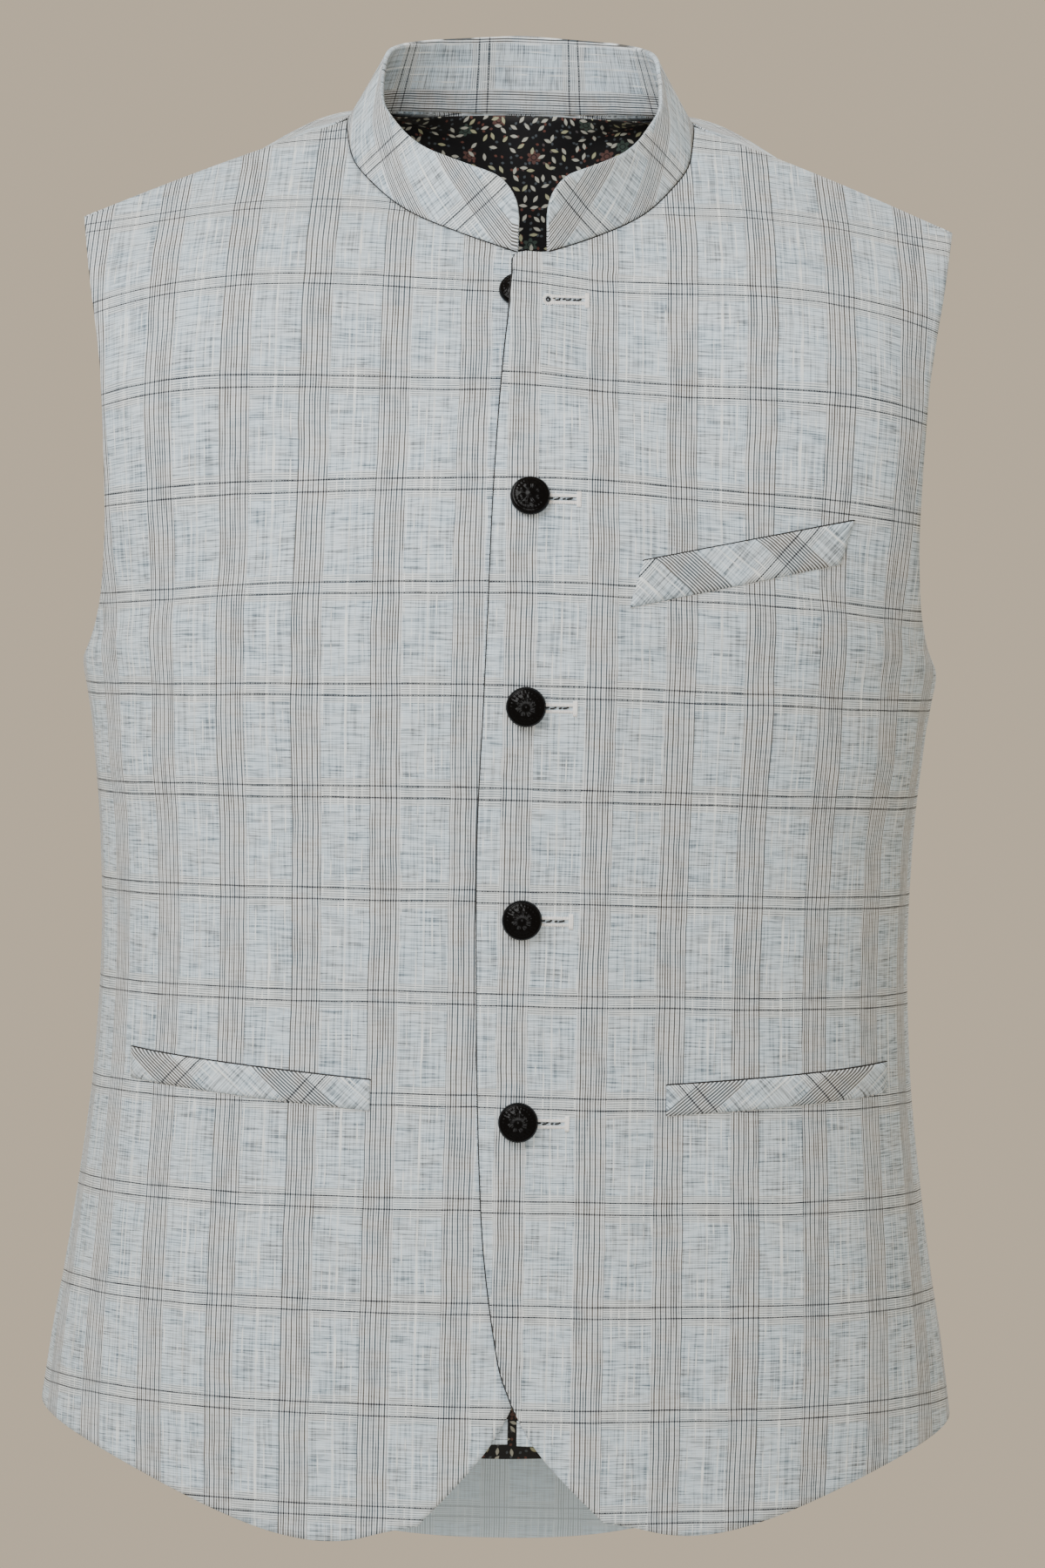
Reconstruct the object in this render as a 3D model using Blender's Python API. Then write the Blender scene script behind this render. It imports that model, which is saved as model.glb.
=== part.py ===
"""A waistcoat with a band collar, filled out as on a wearer, open at neck, armholes and hem.

Metres, +Z up. The fronts face -Y and the wearer's left is at +X. The origin is the nape:
the point where the collar's seam crosses the centre back. Each panel is lofted through a
short table of sections, from its hem up to the shoulder seam, and then given its wall.
"""
import math
from collections import namedtuple

import bmesh
import bpy
import numpy as np

CM = 0.01
MM = 0.001
LEFT = 1
RIGHT = -1

# Cloth thicknesses and the clearance between pieces that touch.
WALL = 1.8 * MM
LINING_WALL = 1.0 * MM
COLLAR_WALL = 2.4 * MM
WELT_WALL = 1.2 * MM
GAP = 0.3 * MM
COLLAR_GAP = 0.6 * MM
LINING_GAP = 0.7 * MM
WELT_GAP = 0.6 * MM

# The buttons and the line they sit on.
CENTRE_FRONT = 0.85 * CM
BUTTON_RADIUS = 9.9 * MM
BUTTON_HEIGHT = 5.4 * MM
SHANK_RADIUS = 3.0 * MM
SHANK_HEIGHT = 1.6 * MM
BUTTON_SIDES = 18
TOP_BUTTON_X = 0.10 * CM
TOP_BUTTON_Z = -9.75 * CM
FASTENED_BUTTON_Z = (-19.75 * CM, -29.75 * CM, -40.0 * CM, -49.75 * CM)

# How far the overlapping front stands off the under front, and how the top of it stands open.
OVERLAP_LIFT = WALL + 2.2 * MM
OVERLAP_FLAT = 3.4 * CM
OVERLAP_END = 8.0 * CM
OPEN_LIFT = 10.5 * MM
OPEN_FROM = -17.0 * CM
OPEN_FULL = -10.8 * CM
OPEN_FLAT_X = 0.4 * CM
OPEN_END_X = 5.0 * CM

# The band collar.
COLLAR_CORNER = 1.75 * CM
COLLAR_END_SHIFT = 0.77 * CM

# The welts: corners in the front view, in centimetres (x towards the wearer's left, z up).
Welt = namedtuple("Welt", "name side inner_x inner_z outer_x outer_z height_inner height_outer slant")
WELTS = (
    Welt("breast_welt", LEFT, 5.75, -24.9, 16.0, -22.7, 2.2, 2.1, 0.62),
    Welt("lower_welt_left", LEFT, 8.0, -49.4, 18.95, -48.75, 1.45, 1.45, 0.0),
    Welt("lower_welt_right", RIGHT, 6.35, -49.4, 18.2, -48.6, 1.45, 1.45, 0.0),
)
WELT_COLUMNS = 16
WELT_ROWS = 2

# The self-fabric facing inside the back's hem ends at a row of the back, and the lining starts
# there. Both are drawn in at their side, bottom and top, by shares of the grid's spacing.
FACING_ROW = 1
FACING_INSET = (0.10, 0.08, 0.0)
LINING_INSET = (0.10, 0.015, 0.15)

# Finishes: base colour and roughness.
CLOTH = ((0.50, 0.52, 0.51), 0.85)
LINING = ((0.03, 0.03, 0.035), 0.6)
BUTTON = ((0.012, 0.012, 0.014), 0.35)

# Sections, all in centimetres. The side seam, from the hem up to the underarm.
SideSeam = namedtuple("SideSeam", "x y z")
SIDE_SEAM = (
    SideSeam(23.00, -9.6, -65.50),
    SideSeam(22.45, -9.6, -61.60),
    SideSeam(21.90, -9.5, -58.40),
    SideSeam(21.25, -9.5, -54.00),
    SideSeam(20.65, -9.4, -48.80),
    SideSeam(20.35, -9.3, -42.50),
    SideSeam(20.50, -9.4, -36.80),
    SideSeam(20.90, -9.6, -32.00),
    SideSeam(21.45, -9.8, -28.50),
)

# The neckline, from the nape round to the end of the collar at the centre front.
NeckPoint = namedtuple("NeckPoint", "x y z")
NECKLINE = (
    NeckPoint(0.00, 0.00, 0.00),
    NeckPoint(3.00, -0.25, 0.00),
    NeckPoint(5.90, -1.45, -0.05),
    NeckPoint(8.00, -3.40, -0.25),
    NeckPoint(8.80, -5.60, -0.80),
    NeckPoint(8.60, -7.60, -2.60),
    NeckPoint(7.25, -9.90, -4.50),
    NeckPoint(5.70, -11.30, -5.75),
    NeckPoint(4.00, -12.35, -6.55),
    NeckPoint(2.30, -13.10, -7.20),
    NeckPoint(0.77, -13.50, -7.70),
)
SHOULDER_NECK_ROW = 4
NECK_END_ROW = len(NECKLINE) - 1

# The collar's height in centimetres, and its lean towards the neck in degrees, by neckline row.
CollarRow = namedtuple("CollarRow", "neck_row height lean")
COLLAR = (
    CollarRow(0, 3.95, 10),
    CollarRow(2, 3.75, 22),
    CollarRow(4, 3.35, 32),
    CollarRow(6, 3.40, 22),
    CollarRow(8, 3.45, 10),
    CollarRow(10, 3.45, 3),
)

# The front: its edge (how far it runs past the centre front), its armhole or side seam, and
# the plan of the section between them. Angles turn from +X towards +Y, in degrees.
FrontRow = namedtuple("FrontRow", "edge_past y z start end reach_in reach_out dip")
FRONT_EDGE = (
    FrontRow(-4.50, -22.9, -69.05, 0, 88, 0.48, 0.31, -2.30),
    FrontRow(-0.55, -22.9, -64.60, 0, 88, 0.50, 0.33, -1.70),
    FrontRow(0.78, -22.8, -61.00, 0, 88, 0.52, 0.35, -0.90),
    FrontRow(1.50, -22.7, -56.00, 0, 88, 0.52, 0.36, -0.40),
    FrontRow(1.87, -22.5, -50.00, 0, 88, 0.52, 0.36, -0.20),
    FrontRow(2.08, -22.4, -43.00, 0, 88, 0.52, 0.35, 0.00),
    FrontRow(2.17, -22.5, -36.00, 0, 88, 0.52, 0.34, 0.00),
    FrontRow(1.98, -22.7, -29.70, 0, 88, 0.52, 0.34, 0.00),
    FrontRow(1.85, -22.4, -24.80, 0, 88, 0.50, 0.33, 0.00),
    FrontRow(1.76, -21.5, -20.80, 0, 74, 0.48, 0.30, 0.00),
    FrontRow(1.62, -20.0, -17.20, -2, 62, 0.44, 0.30, 0.00),
    FrontRow(1.42, -18.1, -13.80, -4, 54, 0.42, 0.30, 0.00),
    FrontRow(1.14, -15.9, -10.60, -8, 48, 0.40, 0.32, 0.00),
    FrontRow(0.85, -13.6, -7.75, -13, 42, 0.38, 0.34, 0.00),
)
# The wearer's right front hangs a little lower at its hem.
RIGHT_HEM = FrontRow(-4.50, -22.9, -69.45, 0, 88, 0.48, 0.31, -2.65)
FrontNeckRow = namedtuple("FrontNeckRow", "neck_row start end reach_in reach_out dip")
FRONT_NECK = (
    FrontNeckRow(NECK_END_ROW, -15, 40, 0.38, 0.34, 0.00),
    FrontNeckRow(8, -22, 30, 0.36, 0.34, 0.10),
    FrontNeckRow(6, -22, 14, 0.34, 0.34, 0.20),
    FrontNeckRow(5, -18, -4, 0.33, 0.33, 0.20),
    FrontNeckRow(SHOULDER_NECK_ROW, -12, -12, 0.33, 0.33, 0.15),
)
ArmPoint = namedtuple("ArmPoint", "x y z")
FRONT_ARMHOLE = (
    ArmPoint(20.85, -12.5, -27.00),
    ArmPoint(20.30, -14.3, -24.80),
    ArmPoint(20.10, -15.2, -21.60),
    ArmPoint(20.20, -15.2, -18.20),
    ArmPoint(20.40, -14.7, -15.00),
    ArmPoint(20.50, -14.3, -13.90),
    ArmPoint(20.85, -13.2, -11.60),
    ArmPoint(21.25, -11.8, -9.40),
    ArmPoint(21.55, -10.2, -7.70),
    ArmPoint(21.85, -8.3, -6.05),
)

# The back, from its hem up to the row below the neckline and shoulder seams.
BackRow = namedtuple("BackRow", "y z start end reach_in reach_out rise")
BACK_CENTRE = (
    BackRow(3.1, -74.80, 0, -88, 0.55, 0.36, 0.0),
    BackRow(3.0, -69.80, 0, -88, 0.55, 0.36, 0.0),
    BackRow(2.8, -66.20, 0, -88, 0.55, 0.36, 0.0),
    BackRow(2.2, -59.80, 0, -88, 0.55, 0.36, 0.0),
    BackRow(1.4, -52.50, 0, -88, 0.54, 0.35, 0.0),
    BackRow(0.8, -44.50, 0, -88, 0.53, 0.35, 0.0),
    BackRow(1.4, -36.80, 0, -88, 0.53, 0.35, 0.0),
    BackRow(2.3, -30.50, 0, -88, 0.53, 0.35, 0.0),
    BackRow(2.9, -25.50, 0, -88, 0.52, 0.34, 0.0),
    BackRow(3.2, -21.50, 0, -74, 0.50, 0.32, 0.0),
    BackRow(3.3, -17.50, 0, -60, 0.48, 0.30, 0.2),
    BackRow(3.1, -13.50, 0, -48, 0.44, 0.30, 0.6),
    BackRow(2.6, -9.80, 0, -38, 0.40, 0.32, 1.2),
    BackRow(1.9, -6.20, 0, -32, 0.36, 0.34, 2.1),
    BackRow(1.0, -3.00, 0, -26, 0.34, 0.34, 3.7),
)
BACK_ARMHOLE = (
    ArmPoint(20.80, -6.3, -26.40),
    ArmPoint(20.40, -4.3, -23.30),
    ArmPoint(20.20, -3.3, -19.50),
    ArmPoint(20.40, -3.4, -15.50),
    ArmPoint(20.90, -4.4, -11.60),
    ArmPoint(21.40, -6.1, -8.40),
)

# How finely the sections are read.
FRONT_COLUMNS = 15
BACK_COLUMNS = 12
COLLAR_ROWS = 3
COLLAR_COLUMNS = 16
COLLAR_END_STEPS = (1.15, 0.78, 0.47, 0.23, 0.07, 0.0)
SECTION_SAMPLES = 60
EDGE_SAMPLES = 4

# How a section's height shifts along it: by how much, where most, how sharply, how soon it
# drifts from its inner end's height to its outer end's, and how level it ends there.
Swell = namedtuple("Swell", "amount peak power drift level")
# They change by the row of the sections, counted from the hem.
SwellRow = namedtuple("SwellRow", "row peak power drift level")
FRONT_SWELLS = (
    SwellRow(0, 0.50, 2.2, 0.55, 0.0),
    SwellRow(2, 0.50, 1.2, 1.10, 0.0),
    SwellRow(8, 0.50, 1.0, 1.30, 0.0),
    SwellRow(14, 1.00, 1.0, 1.10, 0.0),
    SwellRow(18, 1.00, 1.0, 1.00, 0.0),
)
BACK_SWELLS = (
    SwellRow(0, 0.76, 2.0, 1.25, 1.0),
    SwellRow(3, 0.76, 2.0, 2.00, 0.0),
)
UNDERARM_ROW = len(SIDE_SEAM) - 1

# Into how many rows each interval between sections is cut. Both panels share the side seam's.
SEAM_SPLITS = (3, 2, 1, 1, 1, 1, 1, 2)
ARMHOLE_SPLITS = (2, 2, 2, 2, 2)
TAB_SPLITS = (1,)
NECK_SPLITS = (3, 3, 3, 3)
BACK_UPPER_SPLITS = (2, 2, 2, 2, 2, 2, 2)


def spline(points, at):
    """Read a smooth curve through the points, without overshoot, at each row number in at."""
    points = np.asarray(points, float)
    at = np.atleast_1d(np.asarray(at, float))
    step = np.diff(points, axis=0)
    slope = np.zeros_like(points)
    before, after = step[:-1], step[1:]
    same_way = before * after > 0
    total = np.where(same_way, before + after, 1.0)
    slope[1:-1] = np.where(same_way, 2.0 * before * after / total, 0.0)
    slope[0] = 1.5 * step[0] - 0.5 * slope[1]
    slope[-1] = 1.5 * step[-1] - 0.5 * slope[-2]
    row = np.clip(at.astype(int), 0, len(points) - 2)
    t = (at - row)[:, None]
    start, end = points[row], points[row + 1]
    return (
        start * (1 + 2 * t) * (1 - t) ** 2
        + slope[row] * t * (1 - t) ** 2
        + end * t * t * (3 - 2 * t)
        + slope[row + 1] * t * t * (t - 1)
    )


def spread(curve, columns):
    """Space a curve's points evenly along its length."""
    length = np.concatenate([[0.0], np.cumsum(np.linalg.norm(np.diff(curve, axis=0), axis=1))])
    wanted = np.linspace(0.0, length[-1], columns + 1)
    return np.stack([np.interp(wanted, length, curve[:, axis]) for axis in range(3)], axis=1)


def smoothstep(low, high, value):
    t = np.clip((value - low) / (high - low), 0.0, 1.0)
    return t * t * (3.0 - 2.0 * t)


def neck_point(row, side):
    """A point of the neckline, on the wearer's left or right, at a row of its table."""
    point = spline(np.array(NECKLINE) * CM, row)
    toward_end = smoothstep(SHOULDER_NECK_ROW, NECK_END_ROW, np.atleast_1d(row))
    point[:, 0] += side * COLLAR_END_SHIFT * toward_end
    return point


def plan_curve(inner, outer, row, edge_x):
    """A section seen from above, from edge_x to the side, and how many points it has past the
    centre, where it mirrors itself."""
    chord = math.hypot(outer[0] - inner[0], outer[1] - inner[1])
    leave = np.array([math.cos(math.radians(row.start)), math.sin(math.radians(row.start))])
    arrive = np.array([math.cos(math.radians(row.end)), math.sin(math.radians(row.end))])
    near = inner[:2] + leave * row.reach_in * chord
    far = outer[:2] - arrive * row.reach_out * chord
    t = np.linspace(0.0, 1.0, SECTION_SAMPLES)[:, None]
    plan = (
        inner[:2] * (1 - t) ** 3
        + near * 3 * t * (1 - t) ** 2
        + far * 3 * t * t * (1 - t)
        + outer[:2] * t ** 3
    )
    if edge_x < inner[0]:
        past = np.linspace(inner[0] - edge_x, 0.0, EDGE_SAMPLES + 1)[:-1]
        past_y = np.interp(inner[0] + past, plan[:, 0], plan[:, 1])
        return np.vstack([np.column_stack([inner[0] - past, past_y]), plan]), EDGE_SAMPLES
    y_at_edge = np.interp(edge_x, plan[:, 0], plan[:, 1])
    return np.vstack([[edge_x, y_at_edge], plan[plan[:, 0] > edge_x + 0.1 * MM]]), 0


def section(inner, outer, row, edge_x, swell, columns):
    """One section from its edge to its outer end, its height shifting and swelling along it."""
    plan, past = plan_curve(np.array(inner), np.array(outer), row, edge_x)
    length = np.concatenate([[0.0], np.cumsum(np.linalg.norm(np.diff(plan, axis=0), axis=1))])
    run = np.clip((length - length[past]) / (length[-1] - length[past]), 0.0, 1.0)
    drift = run ** swell.drift
    drift += (0.5 - 0.5 * np.cos(math.pi * drift) - drift) * swell.level
    height = inner[2] + (outer[2] - inner[2]) * drift
    height = height + swell.amount * CM * np.sin(math.pi * run ** swell.peak) ** swell.power
    return spread(np.column_stack([plan, height]), columns)


def loft(sections, splits):
    """Join sections into a grid of points, each interval cut into its number of splits."""
    rows = [0.0]
    for interval, split in enumerate(splits):
        rows += [interval + (step + 1) / split for step in range(split)]
    stack = np.array(sections)
    flat = stack.reshape(len(stack), -1)
    return spline(flat, rows).reshape(len(rows), -1, 3), np.array(rows)


def outer_ends(armhole):
    return [np.array(point) * CM for point in SIDE_SEAM + armhole]


def draw_back(edge, inside):
    """Move a seam's points half a gap towards the row inside it."""
    away = inside - edge
    return edge + away / np.linalg.norm(away, axis=1)[:, None] * GAP / 2


def seat_edges(grid, rows):
    """Put the side seam's column on its own curve and clear the side and shoulder seams."""
    on_side = rows <= UNDERARM_ROW
    grid[on_side, -1] = spline(np.array(SIDE_SEAM) * CM, rows[on_side])
    grid[:, -1] = draw_back(grid[:, -1], grid[:, -2])
    grid[-1] = draw_back(grid[-1], grid[-2])
    return grid


def overlap_lift(x, z):
    """How far the wearer's left front stands forward: at the overlap, and its open top corner."""
    past = np.abs(x - CENTRE_FRONT)
    over = OVERLAP_LIFT * (1.0 - smoothstep(OVERLAP_FLAT, OVERLAP_END, past))
    top = smoothstep(OPEN_FROM, OPEN_FULL, z)
    return over + OPEN_LIFT * top * (1.0 - smoothstep(OPEN_FLAT_X, OPEN_END_X, x))


def swell_at(amount, row, table):
    """How the section at a row of a panel swells, read between the rows of its table."""
    known, *columns = zip(*table)
    return Swell(amount, *[np.interp(row, known, column) for column in columns])


def front_grid(side):
    """The outer face of one front as a grid, hem to shoulder and edge to side, as if at +X."""
    ends = outer_ends(FRONT_ARMHOLE)
    hem = FRONT_EDGE[:1] if side == LEFT else (RIGHT_HEM,)
    sections = []
    for row, outer in zip(hem + FRONT_EDGE[1:], ends):
        inner = (side * CENTRE_FRONT, row.y * CM, row.z * CM)
        edge_x = inner[0] - row.edge_past * CM
        swell = swell_at(row.dip, len(sections), FRONT_SWELLS)
        sections.append(section(inner, outer, row, edge_x, swell, FRONT_COLUMNS))
    for row, outer in zip(FRONT_NECK, ends[len(FRONT_EDGE):]):
        inner = neck_point(row.neck_row, side)[0]
        swell = swell_at(row.dip, len(sections), FRONT_SWELLS)
        sections.append(section(inner, outer, row, inner[0], swell, FRONT_COLUMNS))
    neck_start = len(FRONT_EDGE)
    splits = SEAM_SPLITS + ARMHOLE_SPLITS + TAB_SPLITS + NECK_SPLITS
    grid, rows = loft(sections, splits)
    on_neck = rows >= neck_start
    neck_rows = np.interp(rows[on_neck], range(neck_start, neck_start + len(FRONT_NECK)),
                          [row.neck_row for row in FRONT_NECK])
    grid[on_neck, 0] = neck_point(neck_rows, side)
    grid = seat_edges(grid, rows)
    if side == LEFT:
        grid[:, :, 1] -= overlap_lift(grid[:, :, 0], grid[:, :, 2])
    return grid, rows


def back_half():
    """The outer face of half the back, hem to neck and centre back to side."""
    ends = outer_ends(BACK_ARMHOLE)
    sections = []
    for row, outer in zip(BACK_CENTRE, ends):
        inner = (0.0, row.y * CM, row.z * CM)
        swell = swell_at(row.rise, len(sections), BACK_SWELLS)
        sections.append(section(inner, outer, row, 0.0, swell, BACK_COLUMNS))
    neck = neck_point(np.linspace(0, SHOULDER_NECK_ROW, SECTION_SAMPLES), LEFT)
    tip = np.array(FRONT_ARMHOLE[-1]) * CM
    sections.append(spread(np.vstack([neck, tip]), BACK_COLUMNS))
    grid, rows = loft(sections, SEAM_SPLITS + BACK_UPPER_SPLITS)
    return seat_edges(grid, rows), rows


def normals(grid):
    """Unit normals of a grid, towards -Y where its columns run towards +X and its rows up."""
    across = np.gradient(grid, axis=1)
    up = np.gradient(grid, axis=0)
    normal = np.cross(across, up)
    return normal / np.linalg.norm(normal, axis=2)[:, :, None]


def square_seams(outward, rows, on_shoulder=slice(None)):
    """Square a panel's edges so that it meets the next panel face to face at its seams."""
    seam = np.array(FRONT_ARMHOLE[-1]) - np.array(NECKLINE[SHOULDER_NECK_ROW])
    seam /= np.linalg.norm(seam)
    edge = np.array([0.0, 0.0, 1.0]) - seam * seam[2]
    outward[-1, on_shoulder] = edge / np.linalg.norm(edge)
    outward[rows <= UNDERARM_ROW, -1] = (1.0, 0.0, 0.0)


def mirrored(grid):
    return grid * np.array([-1.0, 1.0, 1.0])


def both_halves(half):
    return np.concatenate([mirrored(half)[:, :0:-1], half], axis=1)


def inset(values, shares):
    """Draw a grid's side column and its bottom and top rows in, by shares of their spacing."""
    values = values.copy()
    values[:, -1] += (values[:, -2] - values[:, -1]) * shares[0]
    values[0] += (values[1] - values[0]) * shares[1]
    values[-1] += (values[-2] - values[-1]) * shares[2]
    return values


def material(name, colour, roughness):
    made = bpy.data.materials.new(name)
    made.use_nodes = True
    shader = made.node_tree.nodes["Principled BSDF"]
    shader.inputs["Base Color"].default_value = (*colour, 1.0)
    shader.inputs["Roughness"].default_value = roughness
    shader.inputs["Metallic"].default_value = 0.0
    return made


def add_object(name, points, faces, finish):
    mesh = bpy.data.meshes.new(name)
    mesh.from_pydata([tuple(point) for point in points], [], faces)
    work = bmesh.new()
    work.from_mesh(mesh)
    bmesh.ops.recalc_face_normals(work, faces=work.faces)
    work.to_mesh(mesh)
    work.free()
    mesh.shade_smooth()
    mesh.set_sharp_from_angle(angle=math.radians(40))
    mesh.materials.append(material(name + "_finish", *finish))
    made = bpy.data.objects.new(name, mesh)
    bpy.context.scene.collection.objects.link(made)
    return made


def add_wall(name, outer, inner, finish):
    """A closed wall of cloth between two grids of the same size, both cut by like diagonals."""
    rows, columns = outer.shape[:2]
    points = np.concatenate([outer.reshape(-1, 3), inner.reshape(-1, 3)])
    back = rows * columns

    def at(row, column):
        return row * columns + column

    faces = []
    for row in range(rows - 1):
        for column in range(columns - 1):
            low, low_next = at(row, column), at(row, column + 1)
            high, high_next = at(row + 1, column), at(row + 1, column + 1)
            for ring in ((low, low_next, high_next), (low, high_next, high)):
                faces.append(ring)
                faces.append(tuple(back + corner for corner in reversed(ring)))
    border = [at(0, column) for column in range(columns)]
    border += [at(row, columns - 1) for row in range(1, rows)]
    border += [at(rows - 1, column) for column in range(columns - 2, -1, -1)]
    border += [at(row, 0) for row in range(rows - 2, 0, -1)]
    for here, after in zip(border, border[1:] + border[:1]):
        faces.append((here, back + here, back + after, after))
    return add_object(name, points, faces, finish)


def add_panel(name, grid, outward, lift, wall, finish, side=LEFT):
    """A wall whose outer face is the grid moved out by lift along its outward normals."""
    outer = grid + outward * lift
    inner = outer - outward * wall
    if side == RIGHT:
        outer, inner = mirrored(outer), mirrored(inner)
    return add_wall(name, outer, inner, finish)


def place_on(grid, outward, x, z):
    """The point of a front's outer face seen at x and z from the front, and its normal."""
    gap = (grid[:, :, 0] - x) ** 2 + (grid[:, :, 2] - z) ** 2
    row, column = np.unravel_index(np.argmin(gap), gap.shape)
    row = min(max(row, 1), grid.shape[0] - 2)
    column = min(max(column, 1), grid.shape[1] - 2)
    place = np.array([float(row), float(column)])
    for _ in range(12):
        here = read_grid(grid, place)
        step_row = read_grid(grid, place + (0.01, 0.0)) - here
        step_column = read_grid(grid, place + (0.0, 0.01)) - here
        slopes = np.array([[step_row[0], step_column[0]], [step_row[2], step_column[2]]]) * 100.0
        missing = np.array([x - here[0], z - here[2]])
        place = place + np.linalg.solve(slopes, missing)
        place = np.clip(place, 0.0, np.array(grid.shape[:2]) - 1.02)
    normal = read_grid(outward, place)
    return read_grid(grid, place), normal / np.linalg.norm(normal)


def read_grid(grid, place):
    """A value between a grid's points, on the same triangles as the walls have."""
    row, column = int(place[0]), int(place[1])
    down, across = place[0] - row, place[1] - column
    low, low_next = grid[row, column], grid[row, column + 1]
    high, high_next = grid[row + 1, column], grid[row + 1, column + 1]
    if across >= down:
        return low + (low_next - low) * across + (high_next - low_next) * down
    return low + (high - low) * down + (high_next - high) * across


def add_welt(welt, grid, outward, finish):
    """A pocket's welt: a strip that lies on its front, made from the front's own points."""
    seat, face = [], []
    for up in np.linspace(0.0, 1.0, WELT_ROWS + 1):
        seat_row, face_row = [], []
        for run in np.linspace(0.0, 1.0, WELT_COLUMNS + 1):
            height = welt.height_inner + (welt.height_outer - welt.height_inner) * run
            x = welt.inner_x + (welt.outer_x - welt.inner_x) * run + welt.slant * up
            z = welt.inner_z + (welt.outer_z - welt.inner_z) * run + height * up
            point, normal = place_on(grid, outward, x * CM, z * CM)
            seat_row.append(point + normal * WELT_GAP)
            face_row.append(point + normal * (WELT_GAP + WELT_WALL))
        seat.append(seat_row)
        face.append(face_row)
    seat, face = np.array(seat), np.array(face)
    if welt.side == RIGHT:
        seat, face = mirrored(seat), mirrored(face)
    return add_wall(welt.name, face, seat, finish)


def button_profile():
    """The button's half profile from its shank's foot to the top of its dome: radius, height."""
    rim_height = SHANK_HEIGHT + 1.3 * MM
    profile = [(SHANK_RADIUS, 0.0), (SHANK_RADIUS, SHANK_HEIGHT), (BUTTON_RADIUS * 0.9, SHANK_HEIGHT)]
    profile += [(BUTTON_RADIUS, SHANK_HEIGHT + 0.5 * MM), (BUTTON_RADIUS, rim_height)]
    dome = BUTTON_HEIGHT - (rim_height - SHANK_HEIGHT)
    for step in range(1, 5):
        angle = math.radians(90.0 * step / 5)
        profile.append((BUTTON_RADIUS * math.cos(angle), rim_height + dome * math.sin(angle)))
    return profile, SHANK_HEIGHT + BUTTON_HEIGHT


def add_button(name, foot, axis, finish):
    """A domed button turned about its axis, with its shank's foot just clear of the cloth."""
    axis = axis / np.linalg.norm(axis)
    sideways = np.cross(axis, (0.0, 0.0, 1.0))
    sideways /= np.linalg.norm(sideways)
    upward = np.cross(sideways, axis)
    profile, top = button_profile()
    points = []
    for radius, height in profile:
        for turn in range(BUTTON_SIDES):
            angle = 2 * math.pi * turn / BUTTON_SIDES
            ray = sideways * math.cos(angle) + upward * math.sin(angle)
            points.append(foot + axis * height + ray * radius)
    faces = [tuple(range(BUTTON_SIDES))]
    for ring in range(len(profile) - 1):
        for turn in range(BUTTON_SIDES):
            here = ring * BUTTON_SIDES + turn
            beside = ring * BUTTON_SIDES + (turn + 1) % BUTTON_SIDES
            faces.append((here, beside, beside + BUTTON_SIDES, here + BUTTON_SIDES))
    points.append(foot + axis * top)
    last = (len(profile) - 1) * BUTTON_SIDES
    for turn in range(BUTTON_SIDES):
        faces.append((last + turn, last + (turn + 1) % BUTTON_SIDES, len(points) - 1))
    return add_object(name, points, faces, finish)


def collar_line(side):
    """The collar's foot from the nape to one end, its lean and its height at each point."""
    near_end = NECK_END_ROW - np.array(COLLAR_END_STEPS)
    rows = np.concatenate([np.linspace(0.0, near_end[0], COLLAR_COLUMNS)[:-1], near_end])
    foot = neck_point(rows, side)
    if side == LEFT:
        in_front = rows > SHOULDER_NECK_ROW
        foot[in_front, 1] -= overlap_lift(foot[in_front, 0], foot[in_front, 2])
    length = np.concatenate([[0.0], np.cumsum(np.linalg.norm(np.diff(foot, axis=0), axis=1))])
    height = np.interp(rows, [row.neck_row for row in COLLAR], [row.height * CM for row in COLLAR])
    lean = np.radians(np.interp(rows, [row.neck_row for row in COLLAR], [row.lean for row in COLLAR]))
    short = np.clip(COLLAR_CORNER - (length[-1] - length), 0.0, COLLAR_CORNER)
    height = height - (COLLAR_CORNER - np.sqrt(COLLAR_CORNER ** 2 - short ** 2))
    return foot, lean, height


def add_collar(finish):
    """The band collar: one strip that stands on the neckline, from one front end to the other."""
    left_foot, left_lean, left_height = collar_line(LEFT)
    right_foot, right_lean, right_height = collar_line(RIGHT)
    foot = np.concatenate([mirrored(right_foot)[:0:-1], left_foot])
    lean = np.concatenate([right_lean[:0:-1], left_lean])
    height = np.concatenate([right_height[:0:-1], left_height])
    up = np.array([0.0, 0.0, 1.0])
    along = np.gradient(foot, axis=0)
    level = along * np.array([1.0, 1.0, 0.0])
    inward = np.cross(level, up)
    inward /= np.linalg.norm(inward, axis=1)[:, None]
    rise = inward * np.sin(lean)[:, None] + up * np.cos(lean)[:, None]
    through = np.cross(along, rise)
    through /= np.linalg.norm(through, axis=1)[:, None]
    shares = np.linspace(0.0, 1.0, COLLAR_ROWS + 1)
    outer = np.array([foot + rise * (COLLAR_GAP + height * share)[:, None] for share in shares])
    return add_wall("collar", outer, outer + through * COLLAR_WALL, finish)


def add_fronts(finish):
    """Both fronts; returns each one's outer face and normals, seen as if it were at +X."""
    faces = {}
    for side, name in ((LEFT, "front_left"), (RIGHT, "front_right")):
        grid, rows = front_grid(side)
        outward = normals(grid)
        outward[:, 0] = outward[:, 1]
        square_seams(outward, rows)
        add_panel(name, grid, outward, 0.0, WALL, finish, side)
        faces[side] = (grid, outward)
    return faces


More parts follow.
